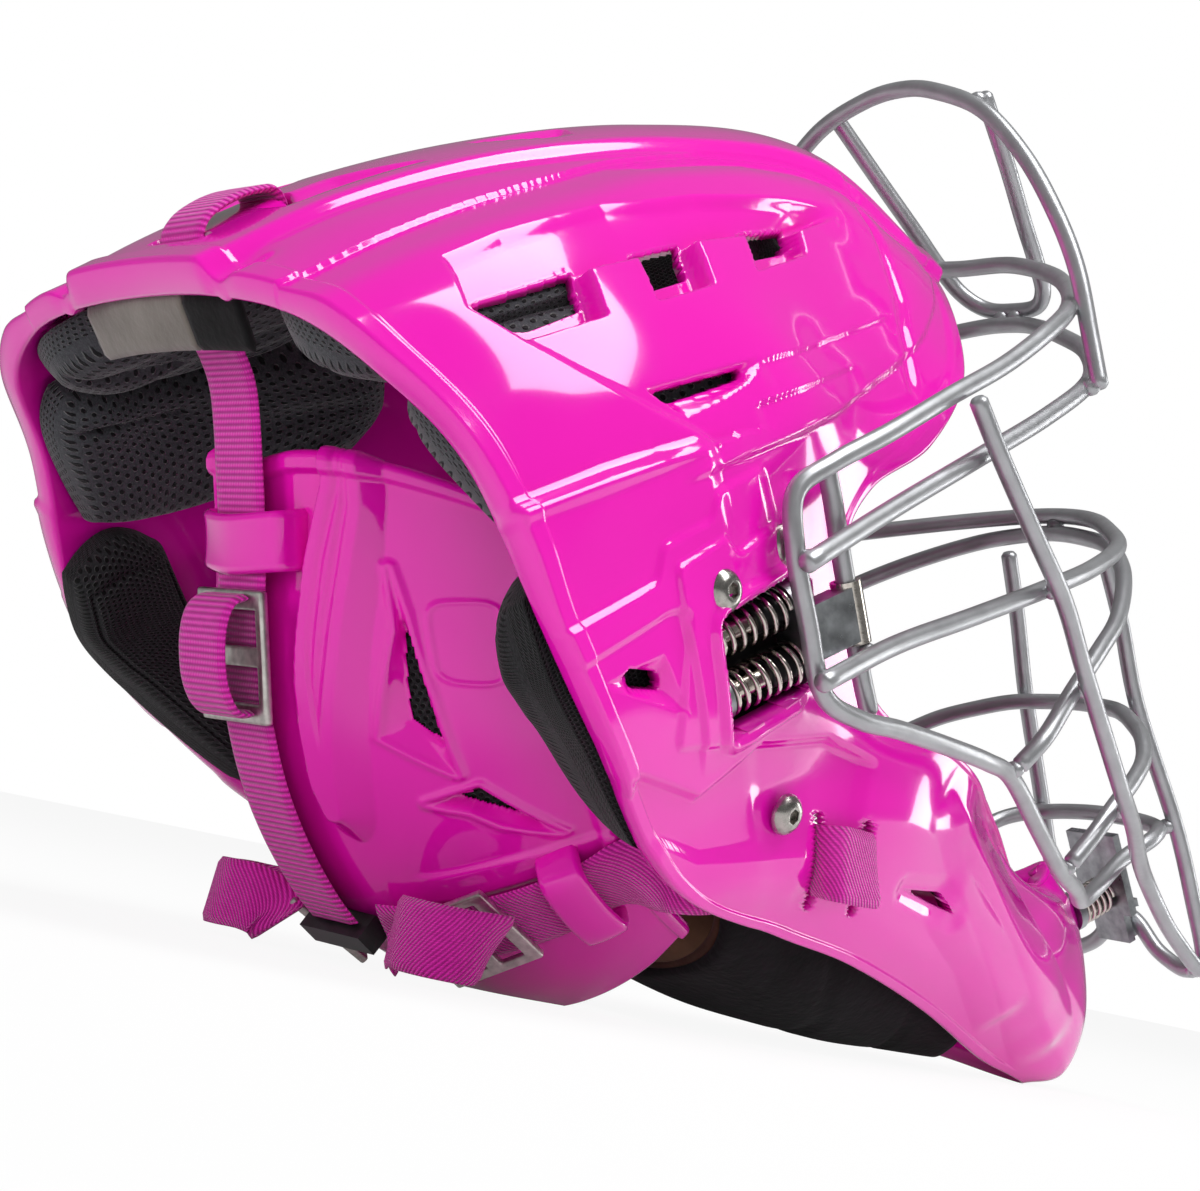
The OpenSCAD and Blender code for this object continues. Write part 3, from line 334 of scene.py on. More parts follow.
def closed_grid(front, back, rim, bulge):
    """Points and faces of a solid between two equal grids, its rim rounded."""
    front, back = np.asarray(front), np.asarray(back)
    nv, nu = front.shape[:2]
    rows, cols = rim_of(nu, nv)
    a, b = front[rows, cols], back[rows, cols]
    out = unit(a - front[np.clip(rows, 1, nv - 2), np.clip(cols, 1, nu - 2)])
    mid, half = (a + b) / 2, (a - b) / 2
    radius = np.linalg.norm(half, axis=-1, keepdims=True)
    rings = []
    for k in range(1, rim + 1):
        angle = math.pi * k / (rim + 1)
        rings.append(mid + half * math.cos(angle) + out * radius * math.sin(angle) * bulge)
    n, size = nu * nv, len(rows)
    points = np.concatenate([front.reshape(-1, 3), back.reshape(-1, 3)] + rings)
    faces = [grid_faces(nu, nv), grid_faces(nu, nv, n, flip=True)]
    front_ring = rows * nu + cols
    chain = [front_ring] + [2 * n + k * size + np.arange(size) for k in range(rim)] + [n + front_ring]
    for p, q in zip(chain, chain[1:]):
        faces.append(np.stack([p, q, np.roll(q, -1), np.roll(p, -1)], -1))
    return points, np.concatenate(faces).tolist()


def joined(parts):
    """Several meshes, each as points and faces, as one."""
    points, faces = [], []
    for p, f in parts:
        start = sum(len(q) for q in points)
        faces += [[i + start for i in face] for face in f]
        points.append(p)
    return np.concatenate(points), faces


def catmull(p, t):
    """Points of a smooth curve through p at the parameters t, as the CAD source draws it."""
    p = np.asarray(p, float)
    p = np.concatenate([[2 * p[0] - p[1]], p, [2 * p[-1] - p[-2]]])
    i = np.clip(np.floor(t).astype(int), 0, len(p) - 4)
    f = (t - i)[:, None]
    a, b, c, d = (p[i + k] for k in range(4))
    square = (2 * a - 5 * b + 4 * c - d) * f ** 2
    cube = (3 * b - a - 3 * c + d) * f ** 3
    return 0.5 * (2 * b + (c - a) * f + square + cube)


def curve(p, k):
    return catmull(p, np.arange((len(p) - 1) * k + 1) / k)


def loop_curve(p, k):
    p = np.asarray(p, float)
    n = len(p)
    return catmull(np.concatenate([p[-1:], p, p[:2]]), 1 + np.arange(n * k) / k)


def tangents(p, shut=False):
    if shut:
        return unit(np.roll(p, -1, 0) - np.roll(p, 1, 0))
    return unit(np.gradient(p, axis=0))


def tube(path, diameter, sides, shut=False):
    """A round wire along a path, its ends rounded over unless it is shut to a ring."""
    path = np.asarray(path, float)
    t = tangents(path, shut)
    guess = np.array([0, 0, 1.0]) if abs(t[0][2]) < 0.8 else np.array([1.0, 0, 0])
    normal = [unit(np.cross(t[0], np.cross(guess, t[0])))]
    for k in range(1, len(path)):
        normal.append(unit(normal[-1] - t[k] * np.dot(normal[-1], t[k])))
    normal = np.array(normal)
    side = np.cross(t, normal)
    angle = 2 * np.pi * np.arange(sides) / sides
    around = normal[:, None] * np.cos(angle)[None, :, None] + side[:, None] * np.sin(angle)[None, :, None]
    ring = diameter / 2 * around
    points = path[:, None] + ring
    n = len(path)
    faces = grid_faces(sides, n, closed=True).tolist()
    if shut:
        base = (n - 1) * sides
        faces += [[base + i, base + (i + 1) % sides, (i + 1) % sides, i] for i in range(sides)]
        return points.reshape(-1, 3), faces
    caps = []
    for end, sign in ((0, -1), (n - 1, 1)):
        start = n * sides + len(caps) * sides
        caps.append(path[end] + ring[end] * 0.7 + t[end] * sign * diameter * 0.2)
        inner = list(range(start, start + sides))
        outer = list(range(end * sides, end * sides + sides))
        for i in range(sides):
            k = (i + 1) % sides
            q = [outer[i], outer[k], inner[k], inner[i]]
            faces.append(q[::-1] if sign < 0 else q)
        faces.append(inner if sign > 0 else inner[::-1])
    return np.concatenate([points.reshape(-1, 3)] + caps), faces


def ribbon(path, side, wide, thick, cross, crown=0.0):
    """A woven strap along a path, its edges rounded; returns points, faces and flat UVs in metres."""
    path = np.asarray(path, float)
    t = tangents(path)
    side = np.broadcast_to(np.asarray(side, float), path.shape)
    s = unit(side - t * np.sum(side * t, -1, keepdims=True))
    f = np.cross(t, s)
    length = np.concatenate([[0], np.cumsum(np.linalg.norm(np.diff(path, axis=0), axis=1))])
    w = np.linspace(-1, 1, cross)
    edge = np.sqrt(np.clip(1 - np.clip((np.abs(w) - 0.9) / 0.1, 0, 1) ** 2, 0.04, 1))
    bow = crown * (1 - w ** 2)
    level = path[:, None] + s[:, None] * (w * wide / 2)[None, :, None]
    top, low = (level + f[:, None] * (bow + sign * edge * thick / 2)[None, :, None] for sign in (1, -1))
    points, faces = closed_grid(top, low, 1, 0.3)
    uv = np.stack(np.meshgrid(length, w * wide / 2, indexing="ij"), -1) / 1000
    rim = uv[tuple(rim_of(cross, len(path)))]
    return points, faces, np.concatenate([uv.reshape(-1, 2), uv.reshape(-1, 2), rim])


# shell
# half of the shell by columns from the crown to the chin, each from the rear edge to the face
SHELL_COLUMNS = [
    [[-14, 0, 57], [24.5, 0, 61.5], [69.5, 0, 60.5], [122, 0, 51.5], [167, 0, 34.5], [198.5, 0, -2]],
    [[-15, 37, 55.5], [23, 38, 59], [66, 38, 56], [114.5, 35.5, 45.5], [155.5, 32.5, 28], [182, 32.5, -6.5]],
    [[-14, 65, 49.5], [19.5, 66, 50], [58, 63.5, 46], [100.5, 58.5, 36], [135.5, 51.5, 18.5], [159, 59, -22]],
    [[-12, 86, 36], [14, 87, 36.5], [48, 84.5, 32.5], [84.5, 77.5, 23], [112.5, 70, 6.5], [131, 74, -30.5]],
    [[-5, 100, 12], [20, 100, 12], [50.5, 96.5, 8], [80, 91, 0.5], [96, 85.5, -12.5], [104.5, 81.5, -32]],
    [[-4, 110.5, -24], [18, 107.5, -25], [42, 102, -26], [62, 97, -29], [76, 92, -34.5], [88.5, 86.5, -41]],
    [[2, 108, -51], [21, 104, -53], [41, 99, -55], [59, 94.5, -57], [73.5, 90, -60], [85, 85.5, -63.5]],
    [[21, 88, -93], [36, 87.5, -92], [53, 85.5, -90], [69, 83, -88], [84, 80.5, -85.5], [96, 77.5, -85]],
    [[56, 70, -122], [70, 73, -119], [85, 74, -116], [99, 73, -113], [112, 70, -109], [123, 67, -107.5]],
    [[84, 57, -144], [97, 60, -141], [110, 61, -137], [123, 59, -133], [134.5, 54, -130], [144, 48.5, -134]],
    [[117, 37, -174], [130, 41, -171], [143, 42, -167], [154, 38, -162], [161, 33, -158], [164, 27, -159.5]],
    [[147, 17, -205], [160, 22, -201], [173, 24, -195], [184, 20, -188], [190, 14, -181], [187, 9, -174]],
    [[172, 0, -228], [186, 0, -232], [197, 0, -222], [202, 0, -205], [203, 0, -188], [199, 0, -174]]]
HALF = np.array(SHELL_COLUMNS, float)
RING = np.concatenate([HALF, mirror(HALF[-2:0:-1])])
RING = np.concatenate([2 * RING[:, :1] - RING[:, 1:2], RING, 2 * RING[:, -1:] - RING[:, -2:-1]], 1)


def weights(t):
    return 0.5 * np.stack([-t + 2 * t ** 2 - t ** 3, 2 - 5 * t ** 2 + 3 * t ** 3,
                           t + 4 * t ** 2 - 3 * t ** 3, -t ** 2 + t ** 3], -1)


def base_at(u, v):
    """The smooth shell surface: u runs round the ring from the crown, v from the rear edge to the face."""
    u, v = np.broadcast_arrays(np.asarray(u, float), np.asarray(v, float))
    i = np.floor(u).astype(int)
    j = np.clip(np.floor(v).astype(int), 0, 4)
    wu, wv = weights(u - i), weights(v - j)
    total = 0
    for a in range(4):
        for b in range(4):
            total = total + (wu[..., a] * wv[..., b])[..., None] * RING[(i + a - 1) % len(RING), j + b]
    return total


def normal_at(u, v, d=0.04):
    a = base_at(u + d, v) - base_at(u - d, v)
    b = base_at(u, v + d) - base_at(u, v - d)
    return unit(np.cross(b, a))


def to_line(p, normal, line):
    """Signed distance to a line of points over the surface (positive on its left), and how far along."""
    line = np.asarray(line, float)
    best = np.full(p.shape[:-1], 1e9)
    sign = np.ones_like(best)
    place = np.zeros_like(best)
    lengths = np.linalg.norm(np.diff(line, axis=0), axis=1)
    done = 0
    for a, b, size in zip(line, line[1:], lengths):
        d = (b - a) / size
        along = np.clip((p - a) @ d, 0, size)
        off = p - (a + along[..., None] * d)
        far = np.linalg.norm(off, axis=-1)
        closer = far < best
        best = np.where(closer, far, best)
        sign = np.where(closer, np.sign(np.sum(np.cross(normal, d) * off, -1)), sign)
        place = np.where(closer, done + along, place)
        done += size
    return best * np.where(sign == 0, 1, sign), place / done


def ends(place, soft=0.12):
    return ease(place / soft) * ease((1 - place) / soft)


def in_outline(p, outline):
    """Signed distance in the plane of an outline, negative inside."""
    outline = np.asarray(outline, float)
    far = np.full(p.shape[:-1], 1e9)
    nearest = np.zeros(p.shape)
    inside = np.zeros(p.shape[:-1], bool)
    for a, b in zip(outline, np.roll(outline, -1, 0)):
        d = b - a
        t = np.clip((p - a) @ d / (d @ d), 0, 1)
        q = a + t[..., None] * d
        gap = np.linalg.norm(p - q, axis=-1)
        nearest = np.where((gap < far)[..., None], q, nearest)
        far = np.minimum(far, gap)
        crosses = (a[1] > p[..., 1]) != (b[1] > p[..., 1])
        with np.errstate(divide="ignore", invalid="ignore"):
            x = a[0] + (p[..., 1] - a[1]) * d[0] / d[1]
        inside ^= crosses & (p[..., 0] < x)
    return np.where(inside, -far, far), nearest


def rounded(outline, radius, steps=4):
    """The outline with its corners rounded."""
    outline = np.asarray(outline, float)
    out = []
    for before, at, after in zip(np.roll(outline, 1, 0), outline, np.roll(outline, -1, 0)):
        a, b = before - at, after - at
        ra, rb = min(radius, np.linalg.norm(a) / 2.2), min(radius, np.linalg.norm(b) / 2.2)
        a, b = at + a / np.linalg.norm(a) * ra, at + b / np.linalg.norm(b) * rb
        for k in range(steps + 1):
            t = k / steps
            out.append((1 - t) ** 2 * a + 2 * t * (1 - t) * at + t * t * b)
    return np.array(out)


# cuts through the side, as outlines in x and z
VENTS = [
    [[14.5, 37.4], [18, 37.6], [44, 36.2], [39.4, 28.5], [23, 28.8], [18.5, 30.4]],
    [[62.5, 34.6], [80.2, 32.3], [75.5, 25], [58.4, 26.6]],
    [[103, 28.6], [123.5, 24], [119.5, 19.2], [97.6, 22.8]],
    [[41.5, 9.8], [70.5, 6.2], [68.5, 4.2], [45, 6.2]],
    [[8.5, -37.5], [19, -42.5], [18.5, -46.5], [9.5, -42.5]]]
WINDOW = [[36, -37.8], [68, -37.8], [68, -65.8], [36, -65.8]]
CHIN_VENT = [[98, -130], [114, -138.5], [118, -146.5]]
CHEEK_SLOTS = [
    [[67.2, -96.5], [70.8, -97], [65.2, -119.8], [61.8, -119.2]],
    [[81.8, -104.8], [85.3, -105.3], [80.7, -129], [77.3, -128.3]]]
# edges of the panels, points on the wearer's left in x, y and z
TOP_CREASE = [
    [-14, 59, 51.5], [2.2, 57.5, 53.1], [19.6, 55.8, 54.3], [34, 53.5, 54.5], [49.2, 50.9, 54],
    [69.6, 45.9, 52.8], [88.7, 39.4, 51.2], [105.2, 36.1, 48.2], [123, 31.4, 44.2], [139.4, 29.1, 39.2],
    [153.5, 25.9, 33.9], [161, 24, 29]]
CHANNEL_TOP = [
    [15.8, 74.4, 46], [32.4, 71, 46.3], [50.1, 67.8, 45.2], [63.8, 64.7, 43.9], [75.9, 63.4, 41.5],
    [92.4, 59.7, 38.6], [109.5, 55.4, 34.2], [128.7, 48.7, 29.3], [144.5, 43.3, 24.5], [152, 41, 21]]
VENT_TOPS = [
    [10.5, 86.4, 37.8], [16.5, 85.5, 37.8], [40, 83.4, 36.6], [61.8, 78.4, 34.6], [79.7, 72.5, 32.5],
    [103.6, 64.2, 28.4], [121.3, 56.6, 24.6], [135.7, 49.4, 22.4], [140, 48, 21.7]]
SWEEP = [
    [186.5, 21.3, 0.6], [172.2, 40.3, -4.3], [165.1, 47.4, -7.1], [151.8, 57.3, -10], [143.6, 62, -11.2],
    [129.1, 69, -12.2], [118.9, 73.6, -12.4], [96.9, 85.1, -12.6], [79.6, 92.4, -11.6], [66.2, 96.1, -10.6],
    [48.9, 99.9, -9.3], [33.7, 103, -9]]
FRONT_GROOVE = [
    [159.9, 33.3, 23.1], [160, 39.9, 13.6], [155.9, 46, 7.2], [149.4, 53.7, -0.7], [143.3, 59.4, -5.5],
    [138.2, 65.4, -13.6], [132.8, 70.4, -21.3]]
FRONT_RIDGE = [
    [161, 24, 29], [168.5, 20.3, 25.6], [177.7, 20.1, 14.3], [181.9, 20.1, 8.3], [186.5, 21.3, 0.6]]
SIDE_CREASE = [[73, 92, 6.5], [91.9, 84.5, 3.6], [121.1, 68.3, -0.4], [143, 59, -2.5]]
LOW_CREASE = [[66, 94.1, -1.5], [85.1, 89.8, -3.2], [115.5, 73.6, -7]]
BAND_FOOT = [
    [-14, 105.5, -0.2], [2.2, 104.4, -0.5], [18.6, 103.7, -0.7], [33.1, 101.8, -1.9], [49, 99.1, -3.9]]
JAW_TOP = [
    [4, 103.5, -60.5], [9.5, 103, -62.3], [27.4, 95.3, -75.1], [49, 92.2, -72], [73.6, 83.9, -81.2],
    [90.9, 77.4, -94.7]]
JAW_LOW = [[14, 96, -79], [27.9, 89.2, -89.6], [47, 84.6, -96.2], [66, 80, -104]]
CHIN_RIDGE = [[118, 68, -110], [128, 57, -134], [146, 39.5, -165], [170, 16, -208], [176, 6, -224]]
CHIN_RIDGE_2 = [[113, 60, -137], [131, 48, -163], [150, 27, -196]]
# flat outlines in x and z: the sunk channel, the blocks left in it, the proud rear panel, bevels and facets
CHANNEL_EDGE = [[x, z] for x, _, z in CHANNEL_TOP]
CHANNEL = CHANNEL_EDGE + [[141.9, 19.6], [132.8, 17.2], [107.1, 20.2], [78.5, 23.5], [57.9, 25.6],
                          [38.7, 27.4], [24.2, 28.3], [16.8, 28.9], [10.5, 37.4]]
BLOCKS = [
    [[45.2, 37], [40.8, 29], [40.8, 25], [56.6, 24], [61.4, 35]],
    [[82, 33], [77, 24.6], [76, 21], [95.4, 20], [101.6, 29.2]],
    [[125, 24.2], [120.6, 19], [120, 15], [140, 16], [146, 22]]]
REAR_PANEL = [[-40, 90], [178, 90], [160, 19]] + CHANNEL_EDGE[::-1]
REAR_PANEL += [[10.5, 37.4], [16.8, 28.9], [25.7, 19.5], [36.8, 9], [47.6, -0.8], [50.5, -4.4],
               [33.1, -4.4], [2.2, -3], [-40, -3]]
VENT_BEVEL = [[39.4, 11.4], [72, 7.6], [77, 7.4], [74.5, 4.4], [60, 2.8], [46.6, 2.8]]
SMALL_VENT_BEVEL = [[0.5, -38.2], [20, -39], [24.5, -54], [9, -44]]
STEP_PANEL = [
    [-30, -25.4], [0.5, -25.4], [22.7, -24.6], [27, -18.3], [42, -18.3], [46, -13.5], [78, -13.5],
    [83, -19], [112, -19], [118, -60], [100, -90], [20, -60], [29, -33], [24, -31.5], [-2, -33], [-30, -33]]
STEP_PANEL_2 = [
    [28.5, -23.8], [45.1, -22.8], [48, -27.6], [60.3, -26.2], [84, -26.8], [84, -60], [74, -72], [28, -70],
    [27, -33]]
RIB_WINDOWS = [
    [[14.3, 10], [34, 10], [50, 23.8], [34, 23.6], [14.3, 21.9]],
    [[70, 12], [97, 10.8], [92, 20], [84, 21]]]

# steps along an edge: its line, how high, how wide, and where the step begins to fade and over how long
EDGE_STEPS = ((SWEEP, 1.1, 1.3, 5, 14), (SIDE_CREASE, -0.8, 2.2, 1, 9), (LOW_CREASE, -0.7, 1.8, 1, 7),
              (JAW_TOP, -2.4, 3.2, 8, 22), (JAW_LOW, 1.1, 4, 4, 14), (FRONT_RIDGE, -0.8, 1.4, 2, 12))
# slots across the rib, and the rings that round the shell's edges
TOP_SLOTS_X, TOP_SLOT_HALF = (-2, 21.4), 10.9
EDGE_RINGS = 5


def shell_grid(nu, nv):
    """Grid numbers over the whole ring, closer together where the panels and cuts are."""
    place = np.linspace(0, 1, nu // 2 + 1)
    half = np.interp(place, [0, 0.04, 0.72, 1], [0, 0.8, 7.0, 12])
    u, v = np.meshgrid(np.concatenate([-half[:0:-1], half[:-1]]), np.linspace(0, 5, nv))
    p, n = base_at(u, v), normal_at(u, v)
    half_p = p * np.where(p[..., 1:2] < 0, [1, -1, 1], 1)
    half_n = n * np.where(p[..., 1:2] < 0, [1, -1, 1], 1)
    return u, v, p, n, half_p, half_n


def step(gap, wide):
    """From 0 outside to 1 inside an edge, a flat bevel, where gap is negative inside."""
    t = np.clip(0.5 - gap / wide, 0, 1)
    return t * 0.7 + ease(t) * 0.3


def between(a, b):
    """0 at the edge where a is 0, 1 where b is 0."""
    a, b = np.maximum(a, 0), np.maximum(b, 0)
    return a / np.maximum(a + b, 1e-6)


def panels(p, n, side):
    """The proud rear and top panel, and the channel with the three windows below its edge."""
    x, y, z = p[..., 0], p[..., 1], p[..., 2]
    plane = p[..., [0, 2]]
    below_crease, _ = to_line(p, n, TOP_CREASE)
    gap, near = in_outline(plane, REAR_PANEL)
    wide = np.where((near[..., 0] < 52) & (near[..., 1] < 45), 2.6, 1.3)
    level = 1.6 - 2.6 * (1 - ease(below_crease / 17))
    fade = 1 - ease((x - 112) / 42)
    rise = np.where(below_crease > 0, level * step(gap, wide) * fade - 1.0 * (1 - step(gap, wide) * fade)
                    * (1 - ease(below_crease / 17)), 0)
    rise = rise * step(-below_crease, 1.3) * side
    # the cheek below stands proud again, behind a bright bevel
    below_band, _ = to_line(p, n, BAND_FOOT)
    high = 3.4 - 1.6 * ease((x - 44) / 7) - 1.8 * ease((x - 52) / 26)
    away = 1 - 0.8 * ease((below_band - 3) / 22)
    rise = rise + high * step(-below_band, 3.4) * away * side * (z < 14)
    # notches beside the rib, deepest at the rear edge
    notch = 2.6 * np.exp(-((np.abs(y) - 37) / 4.5) ** 2)
    rise = rise - notch * (1 - ease((x + 14) / 16)) * (z > 40)
    gap, _ = in_outline(plane, CHANNEL)
    down, _ = to_line(p, n, CHANNEL_TOP)
    up, _ = to_line(p, n, VENT_TOPS)
    slope = np.where(up < 0, between(down, -up), 1)
    front = 1 - ease((x - 128) / 22)
    sunk = CHANNEL_DEPTH * 1.35 * slope * front * step(gap + 0.5, 1.3)
    for outline in BLOCKS:
        block, _ = in_outline(plane, outline)
        sunk = sunk * (1 - step(block, 1.5))
    return rise - sunk * (y > 20)


def under_posts(p):
    """0 where the cage's posts slide back over the shell, 1 elsewhere."""
    return 1 - ease((p[..., 0] - 60) / 6) * ease((-6 - p[..., 2]) / 6)


def long_edges(rise, p, n):
    """Steps along the long edges, the groove at the front and the crests of the chin."""
    for line, high, wide, hold, fade in EDGE_STEPS:
        s, t = to_line(p, n, line)
        rise = rise + high * ease(s / wide + 0.5) * (1 - ease((s - hold) / fade)) * ends(t, 0.08)
    s, t = to_line(p, n, FRONT_GROOVE)
    rise = rise - 1.1 * np.exp(-(s / 1.7) ** 2) * ends(t)
    # the crests are sharp, between two flat flanks
    for line, high, wide in ((CHIN_RIDGE, 3.2, 12), (CHIN_RIDGE_2, 2.2, 9)):
        s, t = to_line(p, n, line)
        rise = rise + high * np.clip(1 - np.sqrt(s * s + 0.3) / wide, 0, 1) * ends(t)
    return rise


def round_the_cuts(rise, c, p, side):
    """The lip round the spring window, the bevels down to the small cuts and the windows of the rib."""
    plane = p[..., [0, 2]]
    gap, _ = in_outline(plane, rounded(WINDOW, 5))
    rise = rise + 1.3 * ease(1 - np.abs(gap - 1.8) / 2.2) * side * under_posts(p)
    for bevel, cut, deep in ((VENT_BEVEL, VENTS[3], 2.2), (SMALL_VENT_BEVEL, VENTS[4], 2.0)):
        outer, _ = in_outline(plane, bevel)
        inner, _ = in_outline(plane, cut)
        rise = rise - deep * between(-outer, inner) * side
    gap, _ = in_outline(plane, CHIN_VENT)
    rise = rise - 1.2 * ease(1 - gap / 5) * (c > 7)
    for outline in RIB_WINDOWS:
        gap, _ = in_outline(p[..., [0, 1]], rounded(outline, 1.5))
        rise = rise - 2.0 * step(gap, 1.6) * (p[..., 2] > 30)
    return rise


def shell_relief(u, v, p, n):
    """How far the moulded surface stands off the smooth one, on the left half, millimetres."""
    c = np.abs(u)
    side = (c > 0.9) * 1.0
    rise = RIB_HEIGHT * (1 - ease((c - 0.78) / 0.14)) + panels(p, n, side)
    # raised facets round the spring window, one on the other
    for outline, high, wide in ((STEP_PANEL, 0.9, 1.5), (STEP_PANEL_2, 1.0, 1.4)):
        gap, _ = in_outline(p[..., [0, 2]], rounded(outline, 2))
        rise = rise + high * step(gap, wide) * side * (1 - ease((-p[..., 2] - 60) / 12)) * under_posts(p)
    rise = long_edges(rise, p, n)
    # chin keel
    rise = rise + 1.5 * np.exp(-(p[..., 1] / 3.5) ** 2) * ease((c - 10.3) / 0.6) * ease((4.6 - v) / 0.8)
    rise = round_the_cuts(rise, c, p, side)
    # flat band along the rear edge and a thin one round the face
    rise = rise + RIM_BAND * (1 - ease((v - 0.15) / 0.035))
    rise = rise + 0.7 * ease((v - 4.88) / 0.05)
    # nothing stands proud at the tip of the chin, which rests on the floor
    return rise * (1 - ease((-p[..., 2] - 208) / 12))


def cut_list():
    """Every cut: its outline, the two axes it is drawn in, and how far to the side it starts."""
    cuts = [(c, 1.2, 20) for c in VENTS] + [(WINDOW, 3, 60), (CHIN_VENT, 0.8, 30)]
    cuts += [(c, 1.6, 40) for c in CHEEK_SLOTS]
    cuts = [(rounded(c, r, 3), [0, 2], low) for c, r, low in cuts]
    for x in TOP_SLOTS_X:
        y = TOP_SLOT_HALF
        cuts.append((rounded([[x - 2, -y], [x + 2, -y], [x + 2, y], [x - 2, y]], 1.6), [0, 1], None))
    return cuts


def cut_shell(outer, inner, half):
    """Snap both skins to each cut, and mark the cells inside it."""
    nv, nu = outer.shape[:2]
    cell_half = 24 / nu * 18
    hole = np.zeros((nv - 1, nu), bool)
    for outline, axes, low in cut_list():
        here = (half[..., 1] > low) & (half[..., 2] < 70) if low else half[..., 2] > 30
        for grid in (outer, inner):
            q = grid[..., axes]
            gap, near = in_outline(q, outline)
            snap = (np.abs(gap) < cell_half) & here
            grid[..., axes] = np.where(snap[..., None], near, q)
        gap, _ = in_outline(outer[..., axes], outline)
        mid = gap + np.roll(gap, -1, 1)
        mid = (mid[1:] + mid[:-1]) / 4
        hole |= (mid < -0.02) & (here & np.roll(here, -1, 1))[:-1]
    return hole


def edge_rings(outer, inner):
    """The rounded edges: rings between the outer and the inner skin."""
    rings = []
    for row, beside in ((0, 1), (-1, -2)):
        out = unit(outer[row] - outer[beside])
        centre, arm = (outer[row] + inner[row]) / 2, (outer[row] - inner[row]) / 2
        radius = np.linalg.norm(arm, axis=-1, keepdims=True)
        for a in np.linspace(0, math.pi, EDGE_RINGS + 2)[1:-1]:
            turn = np.sign(math.cos(a)) * abs(math.cos(a)) ** 0.5
            rings.append(centre + arm * turn + out * radius * 0.3 * math.sin(a))
    return rings


def shell_faces(nu, nv, hole):
    """Both skins without the marked cells, the two rounded edges and the walls of the cuts."""
    size = nu * nv
    keep = ~hole.ravel()
    faces = [grid_faces(nu, nv, closed=True, flip=True)[keep], grid_faces(nu, nv, size, closed=True)[keep]]
    i = np.arange(nu)
    k = (i + 1) % nu
    for e, (row, flip) in enumerate(((0, False), (nv - 1, True))):
        first = 2 * size + e * EDGE_RINGS * nu
        chain = [row * nu] + [first + r * nu for r in range(EDGE_RINGS)] + [size + row * nu]
        for a, b in zip(chain, chain[1:]):
            q = np.stack([a + i, a + k, b + k, b + i], -1)
            faces.append(q[:, ::-1] if flip else q)
    below = np.vstack([hole[1:], np.zeros((1, nu), bool)])
    for other, down in ((np.roll(hole, -1, 1), False), (below, True)):
        j, c = np.nonzero(hole != other)
        beside = (c + 1) % nu
        a = (j + down) * nu + beside
        b = (j + 1) * nu + (c if down else beside)
        q = np.stack([a, b, b + size, a + size], -1)
        faces.append(np.where(hole[j, c][:, None], q[:, ::-1], q))
    return np.concatenate(faces).tolist()


def make_shell():
    nu, nv = ((960, 340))
    u, v, p, n, half, half_n = shell_grid(nu, nv)
    middle = nu // 2
    rise = shell_relief(*(a[:, :middle + 1] for a in (u, v, half, half_n)))
    rise = np.concatenate([rise, rise[:, middle - 1:0:-1]], 1)
    outer = p + n * rise[..., None]
    sunk = np.clip(-rise - 1, 0, 10)
    wall = SHELL_WALL + LIP_EXTRA * (1 - ease(v / 0.5) + ease((v - 4.5) / 0.5))
    inner = p - n * (wall + sunk)[..., None]
    hole = cut_shell(outer, inner, half)
    skins = [outer.reshape(-1, 3), inner.reshape(-1, 3)]
    piece("helmet_shell", np.concatenate(skins + edge_rings(outer, inner)), shell_faces(nu, nv, hole),
          "shell_gloss", "shell_body", ("shell",))


